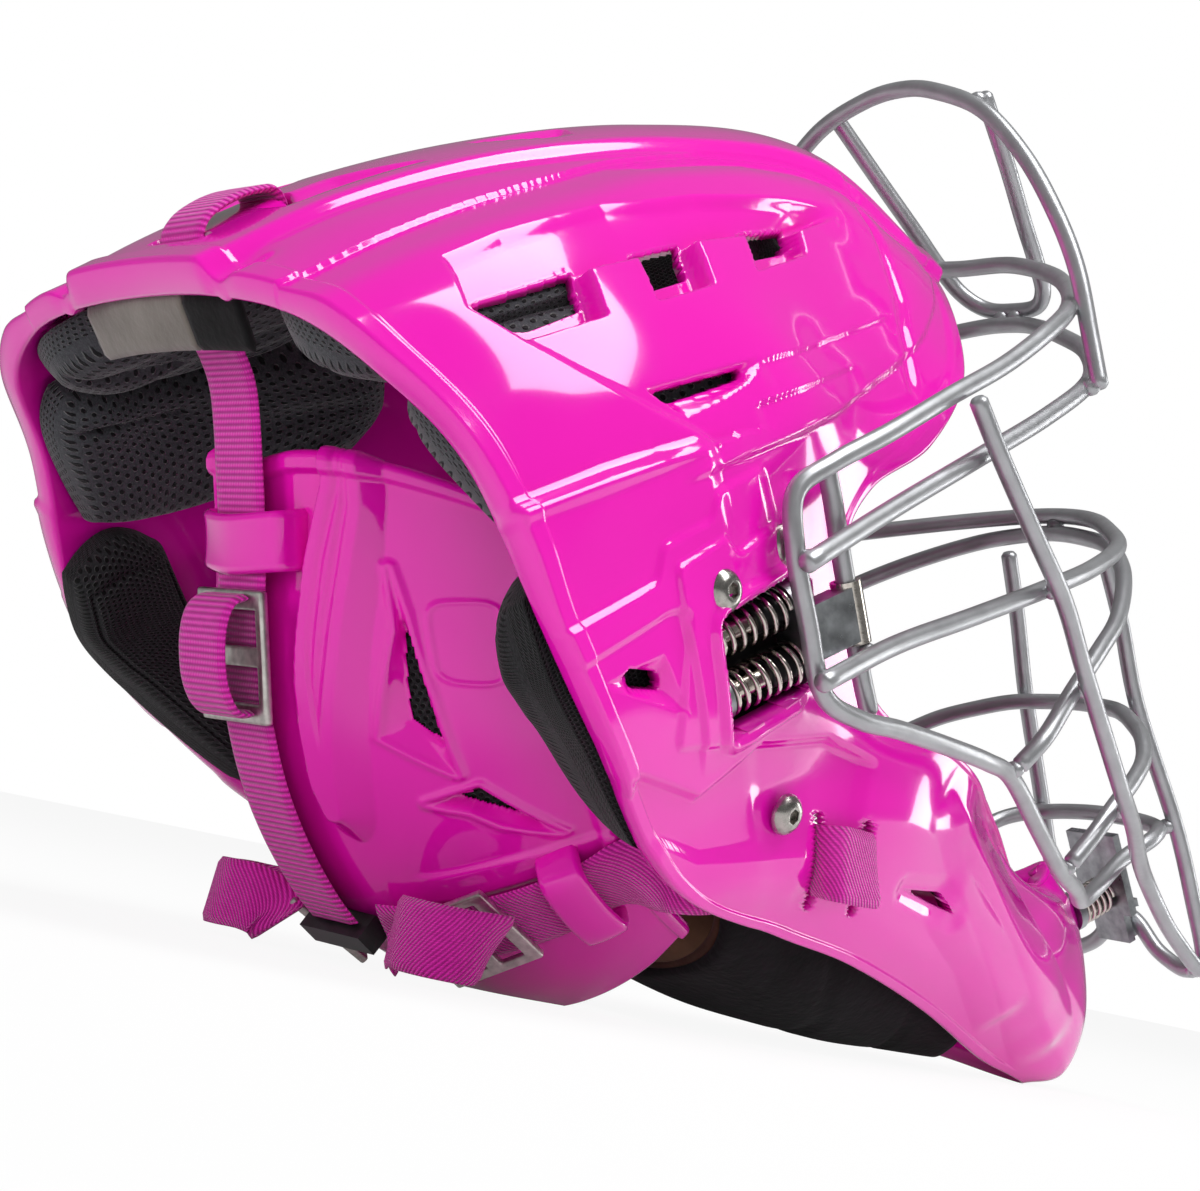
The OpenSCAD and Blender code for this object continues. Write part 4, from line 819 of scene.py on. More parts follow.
# cage
RIM_HALF = [
    [221, 0, -11], [221, 18, -11], [215.5, 37.5, -13], [203.5, 54.5, -14], [188.5, 69, -15],
    [172, 79, -15.5], [148, 87, -17], [123.5, 93.5, -17], [98.5, 99.5, -17.5], [79, 102, -18],
    [67, 102.5, -20.5], [61.5, 104.5, -32], [60, 104.5, -47.5], [60, 103.5, -63.5], [69, 102, -73],
    [81.5, 98.5, -80.5], [97.5, 93.5, -91], [114.5, 86.5, -102.5], [128.5, 77, -113], [139.5, 69.5, -132],
    [150.5, 61, -148], [162.5, 51.5, -159.5], [172, 42, -168], [185, 35.5, -170], [199.5, 30.5, -169.5],
    [214.5, 28.5, -169.5], [223, 20, -170.5], [224, 0, -169.5]]
BARS = {
    "cage_bar_brow": [
        [59.5, 110, -33.5], [95, 99.5, -33.5], [128, 91.5, -33.5], [159.5, 83.5, -33.5], [185.5, 73, -33],
        [208, 51.5, -32], [221.5, 30, -31], [229.5, 12, -30], [230.5, 0, -29.5]],
    "cage_bar_nose": [
        [56, 109.5, -59], [86.5, 98.5, -62.5], [117.5, 90.5, -67.5], [147, 83, -72], [173, 72.5, -76.5],
        [197.5, 57.5, -80], [216, 36.5, -82.5], [229.5, 17, -84.5], [233.5, 0, -85]],
    "cage_bar_lip": [
        [130, 79.5, -110], [140, 79.5, -106.5], [156.5, 73.5, -102.5], [175.5, 66, -99], [190, 59, -97],
        [205.5, 48, -94], [217, 37, -92], [226, 24.5, -90.5], [229.5, 11.5, -89.5], [230.5, 0, -89]],
    "cage_bar_chin": [
        [154.5, 61.5, -147.5], [164.5, 60.5, -144.5], [177, 57.5, -141.5], [188.5, 53, -140.5],
        [199.5, 47, -139.5], [208, 39.5, -137.5], [214.5, 30.5, -136.5], [220, 21, -136],
        [223.5, 11, -136.5], [224.5, 0, -136.5]],
    "cage_arch": [
        [181.5, 80.5, -32.5], [186.5, 76, -22.5], [193.5, 69.5, -7], [198.5, 61.5, 6.5], [205.5, 48, 20],
        [210.5, 32, 32], [213, 14, 38], [214.5, 0, 39.5]],
    "cage_v_wire": [
        [215, 29, 34.5], [221, 25, 15.5], [226, 21, -1], [229.5, 18.5, -12.5], [232.5, 15.5, -21],
        [234.5, 9.5, -26], [235, 0, -27]],
    "cage_chin_wire": [
        [219.5, 26, -211.5], [220, 22, -212], [221, 17, -211], [222, 11, -208], [223.5, 5, -202],
        [224.5, 0, -200.5]]}
LEG_HALF = [
    [128.5, 96.5, -20], [131.5, 96, -34], [138.5, 93, -54], [148, 87.5, -75], [156.5, 79.5, -95],
    [164.5, 72.5, -116], [170.5, 67.5, -133.5], [180.5, 58, -149], [192.5, 44.5, -164], [203, 34, -177],
    [210, 30, -192.5], [215, 29, -203], [218, 29, -209], [220.5, 28.5, -211], [223, 28, -207],
    [224.5, 27, -195], [226, 25.5, -171], [226, 21.5, -137], [228.5, 20, -114], [229.5, 18.5, -95.5]]
POST_HALF = [
    [81.5, 96.5, -20.3], [81, 96.5, -27.5], [79.5, 96.5, -40], [78.2, 96.5, -52.5], [77.3, 96, -65],
    [77.2, 95.5, -74.5]]


def wire(name, path, shut=False):
    points, faces = tube(path, WIRE_D, 18, shut)
    piece(name.replace("cage_", "wire_"), points, faces, "cage_wire", "cage_body", (name,))


WELD_RADII = [2.5, 2.5, 2.1]


def whole(half):
    half = np.asarray(half, float)
    return np.concatenate([half, mirror(half[-2::-1])])


def weld(name, a, b):
    """A small weld bead where two wires cross or meet."""
    rings, sides = 7, 10
    phi, th = np.meshgrid(np.pi * np.arange(rings) / (rings - 1), 2 * np.pi * np.arange(sides) / sides,
                          indexing="ij")
    ball = np.stack([np.sin(phi) * np.cos(th), np.sin(phi) * np.sin(th), np.cos(phi)], -1) * WELD_RADII
    points = (a + b) / 2 + ball.reshape(-1, 3)
    piece(name, points, grid_faces(sides, rings, closed=True).tolist(), "cage_wire", "cage_body")


def nearest_between(p, q):
    gap = np.linalg.norm(p[:, None] - q[None], axis=-1)
    i, j = np.unravel_index(np.argmin(gap), gap.shape)
    return p[i], q[j], gap[i, j]


def make_cage():
    ring = loop_curve(np.concatenate([RIM_HALF, mirror(RIM_HALF[-2:0:-1])]), 8)
    wire("cage_rim_wire", ring, shut=True)
    paths = [ring]
    for name, half in BARS.items():
        paths.append(curve(whole(half), 8))
        wire(name, paths[-1])
    for side, turn in SIDES:
        for name, half in (("leg", LEG_HALF), ("post", POST_HALF)):
            paths.append(curve(turn(half), 8))
            wire(f"cage_{name}_{side}", paths[-1])
    # beads where wires touch, one for each side
    count = 0
    for i, a in enumerate(paths):
        for b in paths[i + 1:]:
            for sign in (-1, 1):
                p, q = (path[path[:, 1] * sign >= 0] for path in (a, b))
                if len(p) and len(q):
                    x, y, gap = nearest_between(p, q)
                    if gap < WIRE_D * 1.25:
                        weld(f"weld_{count}", x, y)
                        count += 1


# springs and their fittings
def coil(x0, length, turns, y, z):
    """One spring along x with a closed turn at each end."""
    radius = (SPRING_COIL_D - SPRING_WIRE_D) / 2
    t = np.linspace(0, turns + 1.5, int((turns + 1.5) * 28))
    rise = np.clip(t - 0.75, 0, turns)
    end = SPRING_WIRE_D / 2
    step = (length - 2 * end - 2 * SPRING_WIRE_D * 0.8) / turns
    x = x0 + end + rise * step + SPRING_WIRE_D * 0.8 * (ease(t / 0.75) + ease((t - turns - 0.75) / 0.75))
    return np.stack([x, y + radius * np.cos(2 * np.pi * t), z + radius * np.sin(2 * np.pi * t)], -1)


def make_springs():
    start = PLATE_X + END_PLATE_T
    for side, sign in (("left", 1), ("right", -1)):
        coils = [coil(start, SPRING_LENGTH, SPRING_TURNS, ROD_Y * sign, ROD_MID + up * BOLT_SPACING / 2)
                 for up in (1, -1)]
        points, faces = joined([tube(path, SPRING_WIRE_D, 10) for path in coils])
        spring = piece(f"coils_{side}", points, faces, "spring_wire", None,
                       (f"springs_{side}",))
        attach(spring, "shell_body")
        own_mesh(spring)
    start = CHIN_PLATE_X + END_PLATE_T
    p, f = tube(coil(start, CHIN_SPRING_LENGTH, CHIN_TURNS, 0, CHIN_Z), SPRING_WIRE_D, 10)
    spring = piece("chin_coil", p, f, "spring_wire", None, ("chin_spring",))
    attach(spring, "shell_body")
    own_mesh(spring)


def dress_nodes():
    """Rigid CAD nodes stay, with bevelled edges and a better finish."""
    looks = {"chin_rear_plate": ("zinc_steel", 0.35), "post_sleeves": ("spring_wire", 0.2),
             "guide_sleeves": ("black_plastic", 0.3), "chin_bolt": ("bolt_steel", 0.3),
             "chin_sleeve": ("black_plastic", 0.3), "chin_bracket": ("zinc_steel", 0.5),
             "strap_hook": ("black_plastic", 0.8)}
    for side, _ in SIDES:
        looks |= {f"spring_housing_{side}": ("black_plastic", 0.4),
                  f"rear_plate_{side}": ("zinc_steel", 0.35),
                  f"front_bracket_{side}": ("zinc_steel", 0.5),
                  f"shoulder_bolts_{side}": ("bolt_steel", 0.4)}
    for name, (look, edge) in looks.items():
        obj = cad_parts[name]
        obj.data.materials.clear()
        obj.data.materials.append(MATERIALS[look])
        mod = obj.modifiers.new("edge", "BEVEL")
        mod.width, mod.segments, mod.limit_method, mod.angle_limit = edge / 1000, 2, "ANGLE", math.radians(40)


# button-head screws of the side, in the shell's own grid numbers, and how far the moulding lifts them
SCREW_SPOTS = [[5.24, 2, 1.5], [5.06, 3.2, 0.8], [7.05, 2.1, 0]]
SCREW_HEAD_D, SCREW_HEAD_H, SOCKET_D = 9.4, 3.0, 3.6


def screw(at, out):
    """A lathe profile about one screw's axis; two of its rings are six-sided for the hex socket."""
    profile = [(0, -3.4), (2.0, -3.4), (2.0, 0), (SCREW_HEAD_D / 2, 0.1), (SCREW_HEAD_D / 2, 0.8), (4.3, 1.6),
               (3.5, 2.4), (2.5, SCREW_HEAD_H - 0.1), (SOCKET_D / 2, SCREW_HEAD_H - 0.2),
               (SOCKET_D / 2 - 0.1, 1.2), (0, 1.2)]
    socket = (8, 9)
    sides = 36
    angle = 2 * np.pi * np.arange(sides) / sides
    turn = (angle + np.pi / 6) % (np.pi / 3) - np.pi / 6
    a = unit(np.cross(out, [0.3, 0, 1]))
    b = np.cross(out, a)
    around = a * np.cos(angle)[:, None] + b * np.sin(angle)[:, None]
    rings = []
    for k, (r, h) in enumerate(profile):
        six = np.cos(np.pi / 6) / np.cos(turn) if k in socket else 1 + 0 * turn
        rings.append(at + out * h + around * (r * six)[:, None])
    n = len(rings) - 2
    faces = grid_faces(sides, n, closed=True, flip=True).tolist()
    low, last = n * sides, (n - 1) * sides
    for i in range(sides):
        j = (i + 1) % sides
        faces += [[low, j, i], [low + 1, last + i, last + j]]
    return np.concatenate(rings[1:-1] + [[rings[0][0], rings[-1][0]]]), faces


def make_screws():
    parts = []
    for u, v, lift in SCREW_SPOTS:
        out = normal_at(u, v)
        at = base_at(u, v) + out * lift
        parts += [screw(turn(at), turn(out)) for _, turn in SIDES]
    points, faces = joined(parts)
    heads = piece("socket_screws", points, faces, "screw_steel", "shell_body",
                  ("side_screws",))
    heads.data.set_sharp_from_angle(angle=math.radians(40))


# pads
PAD_RINGS = 4


def puff(s, t):
    """Fullness of a cushion over its own square: 1 in the middle, rounded off towards its sides."""
    a, b = np.abs(2 * s - 1) ** 5.0, np.abs(2 * t - 1) ** 5.0
    return np.clip((1 - a) * (1 - b), 0, 1) ** 0.45


def drawn_in(s, t, rows, pucker, welt):
    """How full a cushion is, 1 at most: drawn in at its rows, its puckered end and its welt."""
    a = 2 * s - 1
    g = 1 - 0.12 * a * a
    for at in rows:
        g = g * (1 - 0.42 * np.exp(-((s - at) * 14) ** 2) - 0.1 * np.exp(-((s - at) * 50) ** 2))
    if pucker:
        far = np.hypot((s - pucker[0]) * 1.3, t - pucker[1])
        crease = 0.12 * np.exp(-((s - pucker[0]) * 30) ** 2) * (far < 0.3)
        g = g * (1 - 0.3 * np.exp(-(far / 0.07) ** 2) - crease)
    if welt:
        edge = np.minimum(np.minimum(s, 1 - s), np.minimum(t, 1 - t))
        g = g * (1 - 0.16 * np.exp(-((edge - welt) / 0.012) ** 2))
    return g


def cushion_map(s, t, surface, thick):
    """Flat UVs in metres, carried down the sides too, so that the mesh holes keep their size there."""
    nv, nu = s.shape
    size_u = np.linalg.norm(np.diff(surface[nv // 2], axis=0), axis=1).sum() / 1000
    size_v = np.linalg.norm(np.diff(surface[:, nu // 2], axis=0), axis=1).sum() / 1000
    uv = np.stack([s * size_u, t * size_v], -1).reshape(-1, 2)
    edge = uv.reshape(nv, nu, 2)[tuple(rim_of(nu, nv))]
    away = edge - uv.mean(0)
    away = away / np.linalg.norm(away, axis=-1, keepdims=True)
    down = [edge + away * thick / 1000 * k / PAD_RINGS for k in range(1, PAD_RINGS + 1)]
    return np.concatenate([uv, uv] + down)


def wall_pad(name, u_range, v_range, thick, material, wrinkle, off=SHELL_WALL + LIP_EXTRA, pucker=None,
             welt=0.0, slot="black_pad", fill=0.7, n=(90, 90), flip=False, rows=()):
    """A cushion against the inside of the shell, its corners rounded."""
    s, t = np.meshgrid(np.linspace(0, 1, n[0]), np.linspace(0, 1, n[1]))
    a, b = 2 * s - 1, 2 * t - 1
    sa = 0.5 + 0.5 * a * np.sqrt(1 - 0.3 * b * b)
    ta = 0.5 + 0.5 * b * np.sqrt(1 - 0.3 * a * a)
    u, v = u_range[0] + (u_range[1] - u_range[0]) * sa, v_range[0] + (v_range[1] - v_range[0]) * ta
    base = off + PAD_GAP
    wave = wrinkle * (np.sin(9 * s + 4 * t) * np.sin(7 * t - 3 * s + 1) + 0.5 * np.sin(23 * s * t + 5 * s))
    full = puff(s, t)
    depth = base + 0.3 * thick + 0.7 * thick * drawn_in(s, t, rows, pucker, welt) * full * 0.97 + wave * full
    sign = [1, -1, 1] if flip else [1, 1, 1]
    surface, normal = base_at(u, v), normal_at(u, v)
    inner = (surface - normal * depth[..., None]) * sign
    outer = (surface - normal * base) * sign
    points, faces = closed_grid(inner, outer, PAD_RINGS, 0.7)
    if not flip:
        faces = [f[::-1] for f in faces]
    pad = piece(name, points, faces, material, "shell_body", (name.replace("cushion", "pad"),),
                cushion_map(s, t, surface, thick))


def make_pads():
    low = SHELL_WALL + CHANNEL_DEPTH
    grey = dict(slot="grey_mesh_pad")
    for side, flip in (("left", False), ("right", True)):
        wall_pad(f"crown_cushion_{side}", (1.0, 2.85), (0.06, 2.3), CROWN_PAD_T, "grey_mesh_pad", 0.9,
                 off=low - 0.4, pucker=(0.55, 0.13), flip=flip, **grey)
        wall_pad(f"temple_cushion_{side}", (2.98, 4.6), (0.03, 3.3), TEMPLE_PAD_T, "grey_mesh_pad", 0.9,
                 off=low - 0.7, pucker=(0.3, 0.1), flip=flip, **grey)
        wall_pad(f"ear_cushion_{side}", (4.62, 6.95), (-0.16, 1.2), EAR_PAD_T, "black_mesh_pad", 0.3,
                 off=SHELL_WALL + LIP_EXTRA + 0.6, welt=0.09, fill=0.9, flip=flip)
        wall_pad(f"jaw_cushion_{side}", (7.8, 10.2), (2.2, 4.9), JAW_PAD_T, "black_suede", 0.4, flip=flip)
    wall_pad("forehead_cushion", (-2.4, 2.4), (3.5, 4.85), FOREHEAD_PAD_T, "black_mesh_pad", 0.5,
             rows=(0.33, 0.67), n=(120, 48))


# nape plate
PLATE_ROWS = [
    [[0, 0, 8], [3, 15, 9], [10, 30, 5], [19, 44, -3], [30, 56, -14]],
    [[-6, 0, -12], [-3, 15, -12], [5, 31, -14], [16, 46, -20], [29, 60, -28]],
    [[-14, 0, -36], [-11, 15, -36], [-2, 32, -38], [11, 48, -42], [27, 62, -47]],
    [[-17, 0, -62], [-14, 15, -62], [-4, 33, -63], [9, 48, -64], [25, 62, -66]],
    [[-13, 0, -88], [-10, 14, -88], [0, 31, -88], [13, 46, -87], [28, 58, -86]],
    [[-3, 0, -108], [0, 14, -108], [9, 29, -106], [21, 42, -103], [34, 53, -99]],
    [[14, 0, -126], [16, 13, -126], [23, 27, -123], [33, 38, -119], [43, 47, -113]],
    [[30, 0, -137], [31, 12, -137], [36, 24, -134], [43, 34, -129], [50, 42, -122]]]
PLATE = np.array(PLATE_ROWS, float)
PLATE = np.concatenate([mirror(PLATE[:, :0:-1]), PLATE], 1)
PLATE = np.concatenate([2 * PLATE[:, :1] - PLATE[:, 1:2], PLATE, 2 * PLATE[:, -1:] - PLATE[:, -2:-1]], 1)
PLATE = np.concatenate([2 * PLATE[:1] - PLATE[1:2], PLATE, 2 * PLATE[-1:] - PLATE[-2:-1]], 0)


def plate_at(s, t):
    """The outside of the nape plate: s runs across it (4 is the middle), t down it from 0 to 7."""
    s, t = np.broadcast_arrays(np.asarray(s, float), np.asarray(t, float))
    i, j = np.clip(np.floor(s).astype(int), 0, 7), np.clip(np.floor(t).astype(int), 0, 6)
    ws, wt = weights(s - i), weights(t - j)
    total = 0
    for a in range(4):
        for b in range(4):
            total = total + (ws[..., a] * wt[..., b])[..., None] * PLATE[j + b, i + a]
    return total


def plate_out(s, t, d=0.05):
    a = plate_at(s + d, t) - plate_at(s - d, t)
    b = plate_at(s, t + d) - plate_at(s, t - d)
    return unit(np.cross(a, b))


def hug(s, t, d):
    return plate_at(s, t) + plate_out(s, t) * d


# outlines on one half of the plate, as (steps from its middle, steps down it)
RIDGE_FOOT = [
    [1.4, -0.4], [1.38, 0.25], [1.08, 1.05], [0.92, 2.1], [0.87, 3.0], [0.95, 3.42], [1.25, 3.62],
    [1.48, 3.45], [1.55, 3.3], [1.73, 2.65], [1.92, 1.93], [2.15, 1.05], [2.27, 0.38], [2.3, -0.4]]
RIDGE_TOP = [
    [1.5, -0.4], [1.48, 0.25], [1.18, 1.05], [1.0, 2.1], [0.95, 3.0], [1.02, 3.3], [1.2, 3.3], [1.3, 2.8],
    [1.6, 1.93], [1.82, 1.07], [1.98, 0.5], [2.0, -0.4]]
V_RECESS = [[2.2, 1.12], [2.36, 1.55], [2.52, 2.3], [2.62, 3.05], [1.86, 2.62], [2.27, 1.66]]
V_HOLE = [[2.3, 1.62], [2.42, 1.75], [2.54, 2.75], [2.2, 2.5]]
LOW_RECESS = [[2.15, 3.27], [2.8, 3.2], [3.5, 3.86], [2.9, 3.62], [2.62, 3.42]]
LOW_HOLE = [[2.45, 3.28], [2.8, 3.26], [3.3, 3.7], [2.9, 3.5]]
BARE_PANEL = [[2.6, 1.42], [3.42, 1.35], [3.34, 2.2], [2.64, 2.14]]
# one step across the plate and one down it; the keepers stand where a step down is shorter
STEP_MM = np.array([15.0, 25.0])
KEEPER_STEP_MM = 22.5


def plate_relief(s, t):
    """How far the moulded plate stands off its smooth surface, millimetres."""
    c = np.abs(s - 4)
    flat = np.stack([c, t], -1) * STEP_MM

    def gap_to(outline, radius=0.0):
        corners = np.array(outline) * STEP_MM
        return in_outline(flat, rounded(corners, radius) if radius else corners)[0]

    rise = 3.8 * between(-gap_to(RIDGE_FOOT, 2.5), gap_to(RIDGE_TOP, 1.5))
    rise = rise - 0.9 * np.exp(-((gap_to(RIDGE_TOP, 1.5) + 3.2) / 0.9) ** 2) * (c > 1.2) * (t < 3)
    for edge, hole, deep in ((V_RECESS, V_HOLE, 2.9), (LOW_RECESS, LOW_HOLE, 2.6)):
        outer = gap_to(edge)
        rise = rise - deep * between(-outer, gap_to(hole)) + 0.8 * np.exp(-((outer - 0.7) / 0.9) ** 2)
    rise = rise + 0.45 * np.exp(-(gap_to(BARE_PANEL, 4) / 0.55) ** 2)
    # flanges along the top and the sides, and the ledge over the lower bowl
    rise = rise + 1.5 * step((t - 0.14) * 25, 2) + 1.2 * ease((c - 3.84) / 0.07)
    rise = rise + 1.1 * step((t - 4.4) * 25, 3) * ease((t - 3.95) / 0.1) * ease((c - 1.5) / 0.5)
    return rise + 1.2 * ease((t - 5.05) / 0.08) - 0.7 * np.exp(-((t - 5.02) / 0.05) ** 2)


# the moulded guides that hold the straps on the plate: half widths and heights of their arch
ARCH = [[-1.2, -0.2], [-1.12, 0.5], [-0.9, 0.95], [0, 1], [0.9, 0.95], [1.12, 0.5], [1.2, -0.2]]
ARCH_HEIGHT = STRAP_OFF + STRAP_T / 2 + 3.0


def strap_guides():
    reach = (TOP_STRAP_W / 2 + 3.0) / STEP_MM[0]
    path = np.array([hug(4 + q * reach, 0.85, h * ARCH_HEIGHT) for q, h in ARCH])
    points, faces, _ = ribbon(curve(path, 8), unit(plate_at(4, 0.5) - plate_at(4, 1.2)), 13.5, 2.4, 15, 0.5)
    piece("guide_bridge", points, faces, "shell_gloss", "nape_body", ("nape_plate",))
    reach = (SIDE_STRAP_W / 2 + 3.4) / KEEPER_STEP_MM
    path = np.array([hug(7.3, 4.8 + q * reach, h * (ARCH_HEIGHT + 0.8)) for q, h in ARCH])
    along = unit(plate_at(7.6, 4.8) - plate_at(7, 4.8))
    for side, turn in SIDES:
        points, faces, _ = ribbon(curve(turn(path), 8), turn(along), 10.5, 2.4, 15, 0.5)
        piece(f"guide_keeper_{side}", points, faces, "shell_gloss", "nape_body",
              ("nape_plate",))


def cut_cells(faces, hole, nu):
    """Leave the marked cells out of both skins of a closed grid, and wall the cut between them."""
    cells = hole.size
    skip = np.tile(hole.ravel(), 2)
    kept = [f for f, gone in zip(faces[:2 * cells], skip) if not gone] + faces[2 * cells:]
    size = nu * (hole.shape[0] + 1)
    for j, i in np.argwhere(hole):
        a = int(j * nu + i)
        b = a + nu
        for dj, di, p, q in ((-1, 0, a, a + 1), (0, 1, a + 1, b + 1), (1, 0, b + 1, b), (0, -1, b, a)):
            if not hole[j + dj, i + di]:
                kept.append([p, q, size + q, size + p])
    return kept


def make_nape_plate():
    nu, nv = 340, 380
    s, t = np.meshgrid(np.linspace(0, 8, nu), np.linspace(0, 7, nv))
    p, out = plate_at(s, t), plate_out(s, t)
    front = p + out * plate_relief(s, t)[..., None]
    back = p - out * PLATE_WALL
    flat = np.stack([np.abs(s - 4), t], -1) * STEP_MM
    gap = np.minimum(*(in_outline(flat, np.array(outline) * STEP_MM)[0] for outline in (V_HOLE, LOW_HOLE)))
    hole = (gap[1:, 1:] + gap[:-1, 1:] + gap[1:, :-1] + gap[:-1, :-1]) / 4 < -0.3
    points, faces = closed_grid(front, back, 5, 0.7)
    faces = cut_cells(faces, hole, nu)
    piece("nape_shell", points, faces, "shell_gloss", "nape_body", ("nape_plate",))


def make_nape_pad():
    n = 80
    s, t = np.meshgrid(np.linspace(0, 1, n), np.linspace(0, 1, n))
    ps, pt = 0.7 + 6.6 * s, 0.5 + 5.7 * t
    p, out = plate_at(ps, pt), plate_out(ps, pt)
    near = PLATE_WALL + PAD_GAP
    g = 1 - 0.35 * np.exp(-((s - 0.5) * 14) ** 2)
    inner = p - out * (near + 2 + (NAPE_PAD_T - 2) * g * puff(s, t) * 0.97)[..., None]
    outer = p - out * near
    points, faces = closed_grid(inner, outer, 3, 0.5)
    uv = np.stack([s * 0.12, t * 0.14], -1)
    edge = uv[tuple(rim_of(n, n))]
    uv = uv.reshape(-1, 2)
    pad = piece("nape_cushion", points, [f[::-1] for f in faces], "black_mesh_pad", "nape_body",
                ("nape_pad",), np.concatenate([uv, uv, edge, edge, edge]))


# straps
def strap(name, path, side, wide, material, body, node):
    steps = 10
    side = np.asarray(side, float)
    side = curve(side, steps) if side.ndim == 2 else side
    points, faces, uv = ribbon(curve(path, steps), side, wide, STRAP_T, 11)
    return piece(name, points, faces, material, body, (node,), uv)


def spine(t, d):
    return hug(4.0, t, d)


def buckle(name, node, at, out, across, wide, tall, bar, open_wide):
    """A flat three-bar slide of sheet metal with rounded corners."""
    out = unit(out)
    across = unit(np.asarray(across) - out * np.dot(across, out))
    down = np.cross(out, across)
    xs = [-wide / 2, -open_wide / 2, open_wide / 2, wide / 2]
    ys = [-tall / 2, -tall / 2 + bar, -bar / 2, bar / 2, tall / 2 - bar, tall / 2]
    points, faces = [], []
    for z in (BUCKLE_T / 2, -BUCKLE_T / 2):
        for y in ys:
            points += [np.asarray(at) + across * x + down * y + out * z for x in xs]
    n = len(xs) * len(ys)
    filled = {(j, i) for j in range(5) for i in range(3)} - {(1, 1), (3, 1)}
    for j, i in filled:
        a = j * 4 + i
        b = a + 4
        faces += [[a, b, b + 1, a + 1], [n + a, n + a + 1, n + b + 1, n + b]]
        for dj, di, p, q in ((-1, 0, a, a + 1), (1, 0, b + 1, b), (0, -1, b, a), (0, 1, a + 1, b + 1)):
            if (j + dj, i + di) not in filled:
                faces.append([p, q, n + q, n + p])
    obj = piece(name, np.array(points), faces, "buckle_steel", "nape_body", (node,),
                smooth=False)
    mod = obj.modifiers.new("corners", "BEVEL")
    mod.width, mod.segments, mod.limit_method, mod.angle_limit = 0.0007, 3, "ANGLE", math.radians(50)
    obj.data.shade_smooth()


# loose end of the side strap, a loop that stands on the floor: places and twist as (along the strap, up, out)
TAIL_SPOTS = [
    [-12.5, 9.4, 4], [-9.3, 12.8, 3.2], [-5.8, 17.6, 5.8], [0, 21.5, 11.1], [8.4, 20.8, 15.3],
    [13.5, 15.1, 14.6], [13.7, 9.9, 10.8], [10.4, 7.9, 6.7], [7.2, 6.8, 2]]
TAIL_TWIST = [
    [0.7, 0.62, 0.35], [0.02, 0.24, 0.93], [-0.37, -0.37, 0.89], [-0.38, -0.47, 0.83], [-0.42, -0.44, 0.83],
    [-0.52, -0.41, 0.79], [-0.69, -0.26, 0.66], [-0.94, -0.07, 0.31], [-1, 0.17, 0]]

# where the side buckle lies on the plate, and the elastic loop on the cheek
SIDE_BUCKLE_AT = (5.9, 4.75)
CHEEK_LOOP = [
    [66, 76, -107.5], [66.6, 80.5, -108], [69.5, 82.3, -109.5], [75, 81, -113], [80, 78.8, -116],
    [81.6, 76.5, -117], [81.6, 72, -117]]


def make_top_strap():
    y = np.array([0, 1.0, 0])
    top = [[-4.4, 0, 47.5], [-3.6, 0, 43.5], [-1.4, 0, 39], [0.2, 0, 33], [0, 0, 24]]
    top += [spine(t, STRAP_OFF + 0.6) for t in (0.15, 0.6, 1, 1.5, 2, 2.5, 3, 3.5, 4, 4.35)]
    strap("band_top", top, y, TOP_STRAP_W, "ribbed_webbing", "nape_body", "top_strap")
    loop = [[-1.6, 0, 45.5], [-2, 0, 51], [-1.6, 0, 60], [2, 0, 64.5], [9, 0, 66.6], [16, 0, 66.8],
            [20.6, 0, 65], [21.4, 0, 56]]
    strap("band_top_loop", loop, y, TOP_STRAP_W - 1, "ribbed_webbing", "shell_body", "top_strap_loop")
    high = STRAP_OFF + STRAP_T / 2 + BUCKLE_T / 2 + 0.4
    buckle("slide_top", "top_buckle", spine(1.85, high), plate_out(4.0, 1.85), y, TOP_STRAP_W + 8, 30, 4.5,
           TOP_STRAP_W + 2)
    d = STRAP_OFF + STRAP_T + BUCKLE_T + 1.4
    bulge = [(1.36, -0.6), (1.4, 2.2), (1.52, 4.2), (1.72, 5.2), (1.98, 5.2), (2.18, 4), (2.28, 2),
             (2.3, -0.6)]
    tail = [spine(t, d + high) for t, high in bulge]
    strap("band_top_tail", tail, y, TOP_STRAP_W, "ribbed_webbing", "nape_body", "top_strap_tail")


